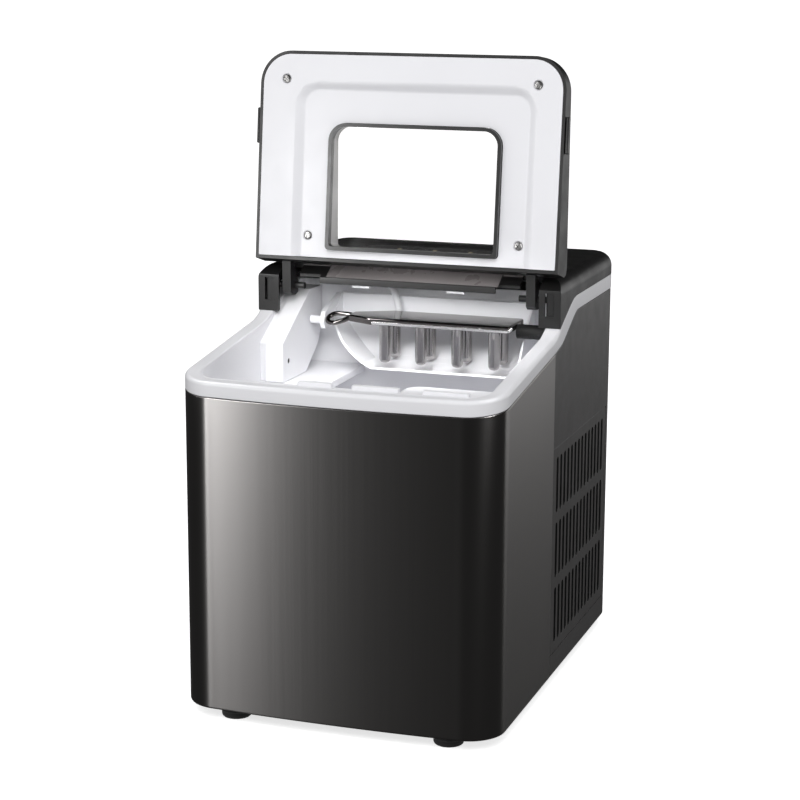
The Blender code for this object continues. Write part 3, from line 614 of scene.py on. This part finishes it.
def make_shade_sheets(mats):
    """Dark sheets behind the side grilles, put there as painted shade so that the slots look dark."""
    for side in (-1, 1):
        x0, x1 = sorted((side * 113 * MM, side * 113.6 * MM))
        # Near-black sheet standing in for the shade behind the slots.
        sheet = block(f"baffle_{side + 1}", (x0, -0.016, 24 * MM), (x1, 0.146, 190 * MM))
        soften(sheet, 0.2 * MM, 2)
        show(sheet, mats["inner_black"], "cabinet")


def make_feet(mats):
    for place in ("front_left", "front_right", "rear_left", "rear_right"):
        low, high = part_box("foot_" + place)
        centre = ((low[0] + high[0]) / 2, (low[1] + high[1]) / 2, 0)
        profile = [(0, 9), (12, 9), (12, 5.4), (11.7, 5.1), (11.4, 4.8), (11.2, 4.2), (11.0, 1.6)]
        profile += [(10.6, 0.7), (10, 0.15), (9.4, 0), (7.4, 0), (7, 0.5), (0, 0.5)]
        foot = turn("ribbed_foot_" + place, in_mm(profile), centre)
        show(foot, mats["rubber"], "cabinet", "foot_" + place)


# ---------------------------------------------------------------- basin


def make_rim(mats):
    """White band round the whole casing, with a soft outer edge where it is open at the front."""
    outer = whole_path(0)
    profile = [(12, 0.0), (1.2, 0.0), (0.35, 0.1), (0, 0.6)]
    rings = []
    plans = {}

    def plan(inset):
        if inset not in plans:
            plans[inset] = whole_path(inset * MM)
        return plans[inset]

    rows = [plan(inset) for inset, _ in profile]
    for i, (x, y) in enumerate(outer):
        base, top = level(BAND_LOW, y), level(BAND_HIGH, y)
        ring = [(row[i][0], row[i][1], base + lift * MM) for row, (_, lift) in zip(rows, profile)]
        radius = 3.2 - 2.4 * ease(y, -12 * MM, 4 * MM)
        for step in range(7):
            angle = math.radians(15 * step)
            inset = radius * (1 - math.cos(angle))
            near, far = plan(0)[i], plan(4)[i]
            blend = inset / 4
            px = near[0] + (far[0] - near[0]) * blend
            py = near[1] + (far[1] - near[1]) * blend
            ring.append((px, py, top - (radius - radius * math.sin(angle)) * MM))
        for inset, drop in ((10.6, 0.0), (11.3, 0.15), (11.8, 0.55), (12, 1.2)):
            px, py = plan(inset)[i]
            ring.append((px, py, top - drop * MM))
        rings.append(ring)
    band = skin("rim_band", rings, stacked=True)
    # The rim uses the darker white, with shade painted in.
    show(band, mats["rim"], "cabinet", "basin", angle=50)


def tub_path(inset):
    """Closed plan of the basin's inner wall."""
    half = SIDE_X - RIM_WIDTH - inset
    radius = FRONT_RADIUS - RIM_WIDTH - inset
    front = FRONT + RIM_WIDTH + inset
    flat = half - radius
    back = BASIN_BACK - inset
    corner = max(8 * MM - inset, 1 * MM)
    ends = (front + radius, back - corner)
    sides = [ends[0] + (ends[1] - ends[0]) * step / 50 for step in range(1, 50)]
    points = arc((-flat, front + radius), radius, 180, 270, 14)
    for step in range(1, 32):
        x = -flat + 2 * flat * step / 32
        points.append((x, front - BOW * (1 - (x / flat) ** 2)))
    points += arc((flat, front + radius), radius, 270, 360, 14)
    points += [(half, y) for y in sides]
    points += arc((half - corner, back - corner), corner, 0, 90, 8)
    points += arc((-half + corner, back - corner), corner, 90, 180, 8)
    points += [(-half, y) for y in reversed(sides)]
    return points


def make_tub(mats):
    """Inside of the basin, with a rounded foot to its walls."""
    proud = 0.15 * MM
    foot = 12 * MM
    thick = tub_path(-2.2 * MM)
    inner = tub_path(proud)
    under_rim = [level(BAND_HIGH, y) - 1.4 * MM for _, y in inner]
    rings = [[(x, y, BASIN_FLOOR - 2.5 * MM) for x, y in thick]]
    for path in (thick, inner):
        rings.append([(x, y, z) for (x, y), z in zip(path, under_rim)])
    for step in range(9):
        angle = math.radians(90 * step / 8)
        inset = proud + foot * (1 - math.cos(angle)) * 0.75
        z = BASIN_FLOOR + foot * (1 - math.sin(angle))
        rings.append([(x, y, z) for x, y in tub_path(inset)])
    tub = skin("tub", rings, caps=True)
    show(tub, mats["white"], "cabinet", "basin", angle=50)


def make_ledges(mats):
    """Ledges inside the basin that carry the ice basket, and the three stops on the front one."""
    shapes = []
    corners = [8 * MM] * 4
    shapes.append(("front_ledge", rounded(-0.1085, 0.1085, -0.1535, -0.126, corners, 8), 240.5, 247.5))
    corners = [2 * MM, 2 * MM, 2 * MM, 10 * MM]
    shapes.append(("right_ledge", rounded(0.036, 0.1085, -0.14, -0.1, corners, 10), 239.5, 247))
    corners = [1 * MM] * 4
    shapes.append(("left_ledge", rounded(-0.1088, -0.055, -0.038, 0.053, corners, 4), 222.5, 227.5))
    for name, outline, low, high in shapes:
        ledge = prism(name, [outline], low * MM, high * MM)
        soften(ledge, 1.2 * MM, 4)
        show(ledge, mats["white"], "cabinet", "basin")
    for number, (x0, x1) in enumerate(((-38, -12), (3, 38), (56, 90))):
        tab = block(f"basket_stop_{number + 1}", (x0 * MM, -0.1335, 0.244), (x1 * MM, -0.1285, 0.2515))
        soften(tab, 0.8 * MM, 3)
        show(tab, mats["white"], "cabinet", "basin")


# ---------------------------------------------------------------- rear top cover


def cover_solid(name, inset, top):
    """Rounded block of the cover, moved in by an inset."""
    radius = BACK_RADIUS - inset
    half = SIDE_X - inset
    edge = 11 * MM - inset
    rings = [[(x, y, 0.2) for x, y in cover_plan(half, radius, BACK - inset)]]
    for step in range(11):
        angle = math.radians(9 * step)
        shift = edge * (1 - math.cos(angle))
        z = top - edge + edge * math.sin(angle)
        plan = cover_plan(half - shift, radius - shift, BACK - inset - shift)
        rings.append([(x, y, z) for x, y in plan])
    return skin(name, rings, caps=True)


def cover_plan(half, radius, back):
    radius = max(radius, 1 * MM)
    points = [(-half, -0.08), (half, -0.08)]
    points += arc((half - radius, back - radius), radius, 0, 90, 14)
    points += arc((-half + radius, back - radius), radius, 90, 180, 14)
    return points


def make_cover(mats):
    cover = cover_solid("cover", 0, COVER_TOP)
    base = [(y, height_on(BAND_HIGH, y) + 0.3) for y in (39, 31, 22)]
    profile = [(-7, 305.2), (-6.4, 306), (6, 313.2), (7.2, 313.6), (7.2, 330), (180, 330), (180, 295.9)]
    profile += base + [(-7, 277.5)]
    cut(cover, across("cover_area", [in_mm(profile)], -REACH, REACH), "INTERSECT")
    hollow = cover_solid("cover_hollow", COVER_WALL, COVER_TOP - COVER_WALL)
    profile = in_mm([(-4.5, 250), (-4.5, 303.4), (8.5, 311), (8.5, 330), (180, 330), (180, 250)])
    cut(hollow, across("hollow_area", [profile], -REACH, REACH), "INTERSECT")
    cut(cover, hollow)
    cut(cover, block("cover_mouth", (-0.104, -0.03, 0.2), (0.104, 0.03, 0.301)))
    for side in (-1, 1):
        x0, x1 = sorted((side * 88 * MM, side * 104 * MM))
        cut(cover, block("arm_notch", (x0, -0.03, 0.29), (x1, 7.2 * MM, 0.33)))
        x0, x1 = sorted((side * 70 * MM, side * 89 * MM))
        cut(cover, block("lip_notch", (x0, -0.03, 0.29), (x1, -2 * MM, 0.3075)))
        x0, x1 = sorted((side * 108.5 * MM, side * 115.5 * MM))
        cut(cover, block("pillar_pocket", (x0, -0.03, 0.286), (x1, -1 * MM, 0.3035)))
    outline = rounded(-0.075, 0.075, 0.056, 0.124, [8 * MM] * 4)
    cut(cover, prism("panel_recess", [outline], COVER_TOP - 1.3 * MM, 0.33))
    soften(cover, 0.6 * MM, 2, 40)
    show(cover, mats["black"], "cabinet", "top_cover", angle=40)


def make_cover_trim(mats):
    outline = in_mm([(-6.1, 305.9), (6.4, 313.45), (6.2, 314), (-6.5, 306.4)])
    strip = soften(across("front_strip", [outline], -0.065, 0.072), 0.15 * MM, 2)
    show(strip, mats["strip"], "cabinet", "cover_strip")
    edge = in_mm([(5.2, 312.75), (7.3, 313.7), (7.1, 314.1), (5.0, 313.3)])
    for name, x0, x1 in (("left", -0.088, -0.066), ("right", 0.073, 0.088)):
        show(soften(across("strip_edge_" + name, [edge], x0, x1), 0.1 * MM, 2), mats["strip"], "cabinet")
    for side in (-1, 1):
        x0, x1 = sorted((side * 109 * MM, side * 115 * MM))
        slab = block(f"pillar_slab_{side + 1}", (x0, -4.4 * MM, 0.284), (x1, -2.4 * MM, 0.305))
        soften(slab, 0.5 * MM, 3)
        show(slab, mats["black"], "cabinet")
    for name in ("left", "right"):
        low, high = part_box("snap_tab_" + name)
        tab = soften(block("clip_" + name, low, high), 0.4 * MM, 3)
        show(tab, mats["white"], "cabinet", "snap_tab_" + name)


def make_controls(mats):
    low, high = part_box("control_panel")
    outline = rounded(low[0], high[0], low[1], high[1], [7.7 * MM] * 4)
    holes = []
    buttons = []
    for name in ("power_button", "select_button"):
        a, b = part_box(name)
        buttons.append(((a[0] + b[0]) / 2, (a[1] + b[1]) / 2, (b[0] - a[0]) / 2, name))
    lights = []
    for name in ("small_ice_light", "large_ice_light", "ice_full_light", "add_water_light"):
        a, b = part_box(name)
        lights.append(((a[0] + b[0]) / 2, (a[1] + b[1]) / 2, (b[0] - a[0]) / 2, name))
    for x, y, radius, _ in buttons + lights:
        holes.append(arc((x, y), radius + GAP, 0, 352.5, 47))
    panel = prism("panel", [outline] + holes, low[2], high[2])
    soften(panel, 0.25 * MM, 2, 60)
    show(panel, mats["panel"], "cabinet", "control_panel")
    bodies = {"power_button": "power_key", "select_button": "select_key"}
    for x, y, radius, name in buttons:
        a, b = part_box(name)
        r = radius / MM
        top = b[2] / MM
        profile = [(0, a[2] / MM), (r, a[2] / MM), (r, top - 0.7), (r - 0.15, top - 0.3)]
        profile += [(r - 0.6, top - 0.05), (r - 1.2, top), (r - 2.4, top - 0.25), (0, top - 0.45)]
        key = turn(name.replace("button", "key"), in_mm(profile), (x, y, 0))
        show(key, mats["alloy"], bodies[name], name)
        make_key_icon(name, x, y, (top - 0.42) * MM, bodies[name], mats)
    for x, y, radius, name in lights:
        a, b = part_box(name)
        r = radius / MM
        profile = [(0, a[2] / MM), (r, a[2] / MM), (r, b[2] / MM - 0.4), (r * 0.85, b[2] / MM - 0.1)]
        profile += [(r * 0.5, b[2] / MM), (0, b[2] / MM)]
        lens = turn(name.replace("light", "lens"), in_mm(profile), (x, y, 0), steps=24)
        show(lens, mats["lens"], "cabinet", name)


def make_key_icon(name, x, y, z, body, mats):
    """Raised line sign on a key: a broken ring with a bar, or a ring."""
    z += 0.05 * MM
    if name == "power_button":
        ring = arc((x, y), 2.9 * MM, 125, 415, 30) + arc((x, y), 2.4 * MM, 415, 125, 30)
        low = (x - 0.25 * MM, y + 1 * MM, z - 0.3 * MM)
        bar = block("power_bar", low, (x + 0.25 * MM, y + 3.6 * MM, z))
        show(bar, mats["panel"], body)
        sign = prism("power_ring", [ring], z - 0.3 * MM, z)
    else:
        ring = arc((x, y), 2.9 * MM, 0, 352, 40)
        sign = prism("select_ring", [ring, arc((x, y), 2.4 * MM, 0, 352, 40)], z - 0.3 * MM, z)
    show(sign, mats["panel"], body)


# ---------------------------------------------------------------- lid


def lid_solid(name, inset, bottom, edge=0.0):
    """Wedge of the lid, thick at the hinge, moved in by an inset."""
    half = LID_HALF - inset
    radius = LID_RADIUS - inset
    far = LID_FAR + inset
    outline = rounded(-half, half, far, -0.01, [radius, radius, 1 * MM, 1 * MM], 18)
    solid = prism(name, [outline], bottom, 0.02, LID)
    i = inset / MM
    profile = [(-190, -45), (-24.9 - i, -45), (-17.2 - 1.2 * i, -1 - 0.2 * i), (-19.5 - i, 4.5 - i)]
    profile += [(-25 - i, 6.2 - i), (-190, -8.6 - i)]
    cut(solid, across(name + "_area", [in_mm(profile)], -REACH, REACH, LID), "INTERSECT")
    if edge:
        soften(solid, edge, 6, 60)
    return solid


def window_loop(inset):
    radii = [14 * MM - inset, 14 * MM - inset, 3 * MM, 3 * MM]
    left, right = WINDOW_LEFT + inset, WINDOW_RIGHT - inset
    return rounded(left, right, WINDOW_FAR + inset, WINDOW_NEAR - inset, radii, 14)


def lid_top(drop):
    """Area under the lid's top face, lowered by a drop in millimetres."""
    return in_mm([(-190, -60), (-5, -60), (-5, 7.99 - drop), (-190, -8.6 - drop)])


def make_lid_case(mats):
    shell = lid_solid("lid_case", 0, -0.04, 5 * MM)
    cut(shell, lid_solid("lid_hollow", 2.2 * MM, -0.05))
    cut(shell, block("under_lid", (-0.2, -0.25, -0.08), (0.2, 0.05, LID_FACE), LID))
    cut(shell, prism("case_window", [window_loop(0)], -0.05, 0.03, LID))
    soften(shell, 0.4 * MM, 2, 50)
    show(shell, mats["black"], "lid", "lid_shell", angle=35)


def recess_cutter():
    """Shallow field of the liner with sloping sides and round far corners, open to the hinge edge."""
    rings = []
    for slope, z in ((9.5, -1), (7.2, 0), (5.6, 0.5), (3.6, 1.6), (1.6, 2.9), (0.5, 3.35), (-0.6, 3.5)):
        radii = [(11 + slope) * MM, (11 + slope) * MM, 1 * MM, 1 * MM]
        plan = rounded((-84 - slope) * MM, (92 + slope) * MM, (-149 - slope) * MM, -5 * MM, radii, 14)
        rings.append([LID @ Vector((x, y, LID_FACE + z * MM)) for x, y in plan])
    return skin("recess", rings, caps=True)


def make_liner(mats, screws):
    inset = 2.5 * MM
    half = LID_HALF - inset
    radius = LID_RADIUS - inset
    outline = rounded(-half, half, LID_FAR + inset, LINER_NEAR, [radius, radius, 1 * MM, 1 * MM], 18)
    liner = prism("lid_lining", [outline], LID_FACE, LID_FACE + 5.5 * MM, LID)
    soften(liner, 0.6 * MM, 3, 60)
    cut(liner, recess_cutter())
    cut(liner, prism("lining_window", [window_loop(0)], -0.05, 0.03, LID))
    for x, y, depth in screws.values():
        profile = [(0, -2), (3.9, -2), (3.9, depth + 0.9), (0, depth + 0.9)]
        hole = turn("screw_hole", in_mm(profile), (0, 0, 0))
        hole.data.transform(LID @ Matrix.Translation((x * MM, y * MM, LID_FACE)))
        cut(liner, hole)
    show(liner, mats["liner"], "lid", "lid_liner", angle=28)


def make_window(mats):
    frame_ring = prism("window_frame", [window_loop(GAP), window_loop(3 * MM)], -20.3 * MM, -14.5 * MM, LID)
    soften(frame_ring, 0.8 * MM, 3, 60)
    show(frame_ring, mats["gasket"], "lid", "window_gasket")
    sleeve = prism("window_sleeve", [window_loop(GAP), window_loop(2.4 * MM)], -14.2 * MM, 0.03, LID)
    cut(sleeve, across("sleeve_area", [lid_top(2.9)], -REACH, REACH, LID), "INTERSECT")
    show(sleeve, mats["grey"], "lid", "window_collar")
    pane = prism("window_glass", [window_loop(GAP)], -0.02, 0.03, LID)
    cut(pane, across("glass_area", [lid_top(0.2)], -REACH, REACH, LID), "INTERSECT")
    cut(pane, across("glass_under", [lid_top(2.6)], -0.3, 0.3, LID))
    soften(pane, 0.3 * MM, 2, 60)
    show(pane, mats["clear"], "lid", "window_pane")


def make_screw(name, x, y, depth, mats):
    """Low domed head with a cross cut into it."""
    profile = [(0, 0.9), (3.2, 0.9), (3.2, 0.2), (3.05, -0.15), (2.6, -0.42), (1.8, -0.58)]
    profile += [(0.9, -0.66), (0, -0.68)]
    head = turn("head_" + name, in_mm(profile), (0, 0, 0), steps=40)
    for turned in (0, 90):
        bar = block("cross", (-1.9 * MM, -0.42 * MM, -2 * MM), (1.9 * MM, 0.42 * MM, 0.2 * MM))
        bar.data.transform(Matrix.Rotation(math.radians(turned + 32), 4, "Z"))
        cut(head, bar)
    place = (x * MM, y * MM, LID_FACE + (depth - 0.05) * MM)
    head.data.transform(LID @ Matrix.Translation(place))
    show(head, mats["screw"], "lid", "lid_screw_" + name, angle=40)


def make_arms(mats):
    for name, side in (("left", -1), ("right", 1)):
        shape = [(5.2, -9), (7.6, -5), (7.6, 1), (5.4, 6), (-3, 6), (-8, 2), (-17.4, -4.3), (-18.7, -12)]
        hole = arc((0, 0), 2.9 * MM, 0, 345, 23)
        x0 = side * ARM_X - ARM_WIDTH / 2
        arm = across("lid_arm_" + name, [in_mm(shape), hole], x0, x0 + ARM_WIDTH, LID)
        soften(arm, 0.7 * MM, 3, 30)
        show(arm, mats["black"], "lid", "hinge_arm_" + name)
        low, high = sorted((side * 120.3 * MM, side * 122.6 * MM))
        grip = block("grip_" + name, (low, -0.135, -0.0185), (high, -0.108, -0.0125), LID)
        soften(grip, 1.0 * MM, 4)
        show(grip, mats["black"], "lid", "lid_grip_" + name)


# ---------------------------------------------------------------- ice making


def make_evaporator(mats):
    corners = [(-29, -6.5), (82, -6.5), (82, 31.5), (-24, 31.5), (-51, 17), (-51, 4), (-38, -2)]
    # The plate's nickel is the darker copy, with its dark reflection painted in.
    plate = prism("evaporator_plate", [in_mm(corners)], 0.271, 0.2765)
    soften(plate, 1.4 * MM, 5)
    show(plate, mats["nickel"], "cabinet", "evaporator")
    # Painted highlight: a thin strip in light nickel along the plate's front edge and its turned-up right end.
    outline = [(-28, 271.6), (79, 271.6), (82.4, 272.6), (84.2, 275), (83.4, 276.2), (81, 274.2), (-28, 274)]
    edge = along("evaporator_edge_painted_highlight", [in_mm(outline)], -7.1 * MM, -5.6 * MM)
    soften(edge, 0.5 * MM, 4)
    show(edge, mats["bright"], "cabinet", "evaporator")
    profile = [(0, 31), (4.5, 31), (4.5, 4.2), (4.35, 2.9), (3.8, 1.5), (2.9, 0.6), (1.6, 0.12), (0, 0)]
    for row, y in enumerate(FINGER_ROWS):
        for column in range(4):
            x = FINGER_X + column * FINGER_STEP
            finger = turn(f"finger_{row}_{column}", in_mm(profile), (x * MM, y * MM, FINGER_TIP))
            show(finger, mats["posts"], "cabinet", "evaporator", angle=60)
    route = [(-20, 33.2, 274), (-21, 38, 276), (-28, 44.5, 290.5), (-40, 51, 299.6), (-52, 60, 300.5)]
    route += [(-59, 72, 296), (-58, 78, 270), (-56, 82, 215), (-54, 90, 168), (-52, 96, 153.4)]
    show(tube("return_pipe", route, 2.8 * MM), mats["white"], "cabinet", "suction_pipe", angle=60)
    route = [(-50.6, 6.4, 273.2), (-57, 4, 270.5), (-63, 3.6, 269), (-68.5, 6.5, 269.5), (-69.4, 11, 272)]
    route += [(-65, 14.4, 274.4), (-58, 14.8, 274.5), (-50.6, 14.2, 274)]
    show(tube("tube_loop", route, 1.9 * MM), mats["nickel"], "cabinet", "evaporator_loop", angle=60)


def tray_area(radius, closed):
    """Side view of the tray about its axis: a round bottom that runs up into the back wall."""
    points = arc((0, 0), radius, -105, 0, 36)
    if closed:
        points += [(radius, 17.5 * MM), (14 * MM, 2 * MM), (-1 * MM, -17 * MM)]
    else:
        points += [(radius, 40 * MM), (-60 * MM, 40 * MM), (-60 * MM, points[0][1])]
    return points


def tray_ends(inset):
    """Front view of the tray: a wide sweep at its lower left corner and a small round at the right."""
    low = -TRAY_OUTER + inset
    left, right = TRAY_LEFT + inset, TRAY_RIGHT - inset
    points = []
    for step in range(SWEEP_STEPS + 1):
        angle = math.pi / 2 * step / SWEEP_STEPS
        inward = SWEEP_WIDTH * (1 - math.cos(angle) ** SWEEP_POWER)
        up = (SWEEP_HEIGHT - inset) * (1 - math.sin(angle) ** SWEEP_POWER)
        points.append((left + inward, low + up))
    points += arc((right - TRAY_ROUND, low + TRAY_ROUND), TRAY_ROUND, 270, 360, 16)
    return points + [(right, 60 * MM), (left, 60 * MM)]


def make_tray(mats):
    tray = across("ice_tray", [tray_area(TRAY_OUTER, True)], -0.083, 0.096, TRAY)
    cut(tray, along("tray_ends", [tray_ends(0)], -0.1, 0.1, TRAY), "INTERSECT")
    hollow = across("tray_hollow", [tray_area(TRAY_INNER, False)], -REACH, REACH, TRAY)
    cut(hollow, along("hollow_ends", [tray_ends(TRAY_WALL)], -0.1, 0.1, TRAY), "INTERSECT")
    cut(tray, hollow)
    shape = in_mm([(6, -6), (34, -8), (35, 14), (30, 17), (-3, 7), (-7, 0), (-4, -6)])
    cut(tray, across("tray_arm", [shape], -0.0756, -0.072, TRAY), "UNION")
    soften(tray, 0.4 * MM, 2, 45)
    show(tray, mats["white"], "tray", "water_tray", angle=35)


def make_housing(mats):
    left, right = -108.7 * MM, -88 * MM
    outer = [(-38, 227.8), (9, 227.8), (36, 247), (42.5, 257.5), (42.5, 291.5), (19, 291.5), (-38, 258.2)]
    housing = across("sensor_box", [in_mm(outer)], -103 * MM, right)
    outer = [(-34, 227.8), (9, 227.8), (36, 247), (42.5, 257.5), (42.5, 288.5), (20, 288.5), (-34, 257)]
    cut(housing, across("housing_step", [in_mm(outer)], left, -102.5 * MM), "UNION")
    soften(housing, 1.6 * MM, 5, 30)
    bore = in_mm([(0, -3), (2.3, -3), (2.3, 3), (0, 3)])
    cut(housing, turn("lens_hole", bore, (right, -26.5 * MM, 242.8 * MM), "X"))
    show(housing, mats["white"], "cabinet", "sensor_housing", angle=35)


# ---------------------------------------------------------------- the rest


def dress_nodes(mats):
    """Gives each CAD node that stays in view its material."""
    looks = {
        "inner_black": ["base_pan", "evaporator_holder", "infrared_lens", "compressor", "fan_shroud", "fan"],
        "black": ["water_pump", "cord_gland", "drain_cap", "hinge_pin_left", "hinge_pin_right"],
        "white": ["water_hose", "float_stem", "drain_spout", "tray_shaft"],
        "grey": ["fan_motor", "water_float"],
        "alloy": ["tray_motor"],
        "fins": ["condenser"],
        "board": ["control_board"],
    }
    for look, names in looks.items():
        for name in names:
            node = frame["nodes"][name]
            for slot in node.material_slots:
                slot.material = mats[look]


# ---------------------------------------------------------------- studio


def make_floor():
    """Pale floor that glows to the camera and isn't seen in reflections or by bounced light."""
    half = 60
    corners = [(-half, -half, 0), (half, -half, 0), (half, half, 0), (-half, half, 0)]
    floor = mesh_object("floor", corners, [(0, 1, 2, 3)])
    floor.visible_glossy = False
    floor.visible_diffuse = False
    mat, tree, shader, where = shader_nodes("pale_floor")
    tone = ramp(tree, noise(tree, where, 3, 2), (0.96, 0.96, 0.96), (0.965, 0.965, 0.965))
    tree.links.new(tone, shader.inputs["Base Color"])
    shader.inputs["Roughness"].default_value = 0.7
    shader.inputs["Specular IOR Level"].default_value = 0.2
    shader.inputs["Emission Color"].default_value = (1, 1, 1, 1)
    shader.inputs["Emission Strength"].default_value = 0.72
    floor.data.materials.append(mat)


def area_light(name, place, target, size, power, spread=180, diffuse=True, glossy=True):
    data = bpy.data.lights.new(name, "AREA")
    data.shape = "RECTANGLE"
    data.size, data.size_y = size
    data.energy = power
    data.spread = math.radians(spread)
    obj = bpy.data.objects.new(name, data)
    obj.location = place
    obj.rotation_mode = "QUATERNION"
    obj.rotation_quaternion = (Vector(target) - Vector(place)).to_track_quat("-Z", "Y")
    obj.visible_camera = False
    obj.visible_diffuse = diffuse
    obj.visible_glossy = glossy
    bpy.context.scene.collection.objects.link(obj)


def make_world():
    """White to the camera, softer on matte surfaces, dim in reflections, where the softboxes show."""
    world = bpy.data.worlds.new("studio")
    bpy.context.scene.world = world
    world.use_nodes = True
    tree = world.node_tree
    background = tree.nodes["Background"]
    background.inputs["Color"].default_value = (1, 1, 1, 1)
    path = tree.nodes.new("ShaderNodeLightPath")
    strength = tree.nodes.new("ShaderNodeMapRange")
    strength.inputs["To Min"].default_value = 0.5
    strength.inputs["To Max"].default_value = 0.035
    tree.links.new(path.outputs["Is Glossy Ray"], strength.inputs["Value"])
    seen = tree.nodes.new("ShaderNodeMapRange")
    seen.inputs["To Max"].default_value = 1.0
    tree.links.new(path.outputs["Is Camera Ray"], seen.inputs["Value"])
    tree.links.new(strength.outputs["Result"], seen.inputs["To Min"])
    tree.links.new(seen.outputs["Result"], background.inputs["Strength"])


def make_lights():
    """Soft key, gridded fill and weak top light, then the softboxes and strips that show only in gloss."""
    area_light("key", (0.3, -1.6, 1.7), (0, 0, 0.28), (1.4, 1.4), 27, glossy=False)
    area_light("basin_fill", (0.02, -0.13, 0.335), (0, 0.02, 0.2), (0.14, 0.03), 0.11, spread=90, glossy=False)
    area_light("top_softbox", (0.1, -0.3, 2.2), (0, 0, 0.2), (1.6, 1.6), 3, glossy=False)
    for side in (-1, 1):
        place = (0.02 + side * 0.15, -0.15, 0.37)
        area_light(f"post_strip_{side + 1}", place, (0.03, 0.015, 0.255), (0.05, 0.14), 0.22, diffuse=False)
    area_light("left_softbox", (-1.32, -2.12, 0.9), (0, -0.1, 0.15), (0.3, 1.8), 26, diffuse=False)
    area_light("back_softbox", (1.7, 2.4, 0.4), (0.1, 0, 0.2), (1.8, 1.2), 11, diffuse=False)


def make_camera():
    yaw, pitch, roll = (math.radians(angle) for angle in (19.187, 12.375, 0.216))
    forward = Vector((-math.sin(yaw) * math.cos(pitch), math.cos(yaw) * math.cos(pitch), -math.sin(pitch)))
    right = Vector((math.cos(yaw), math.sin(yaw), 0))
    level_right, level_up = right, right.cross(forward)
    right = level_right * math.cos(roll) + level_up * math.sin(roll)
    up = level_up * math.cos(roll) - level_right * math.sin(roll)
    data = bpy.data.cameras.new("camera")
    data.lens = 94.63
    data.sensor_width = 36
    data.clip_start = 0.05
    data.clip_end = 50
    camera = bpy.data.objects.new("camera", data)
    turned = Matrix((right, up, -forward)).transposed().to_4x4()
    camera.matrix_world = Matrix.Translation((0.51209, -1.49146, 0.55931)) @ turned
    bpy.context.scene.collection.objects.link(camera)
    bpy.context.scene.camera = camera


def main():
    mats = make_materials()
    make_camera()
    make_floor()
    make_world()
    make_lights()
    make_front_wrap(mats)
    make_rear_wrap(mats)
    make_grilles(mats)
    make_shade_sheets(mats)
    make_feet(mats)
    make_rim(mats)
    make_tub(mats)
    make_ledges(mats)
    make_cover(mats)
    make_cover_trim(mats)
    make_controls(mats)
    screws = {
        "far_left": (-98.8, -157.2, 0),
        "far_right": (98.8, -157.2, 0),
        "near_left": (-79, -39.4, 3.5),
        "near_right": (88, -39.4, 3.5),
    }
    make_lid_case(mats)
    make_liner(mats, screws)
    make_window(mats)
    for name, (x, y, depth) in screws.items():
        make_screw(name, x, y, depth, mats)
    make_arms(mats)
    make_evaporator(mats)
    make_tray(mats)
    make_housing(mats)
    dress_nodes(mats)
    bpy.context.scene.view_settings.view_transform = "Standard"


main()
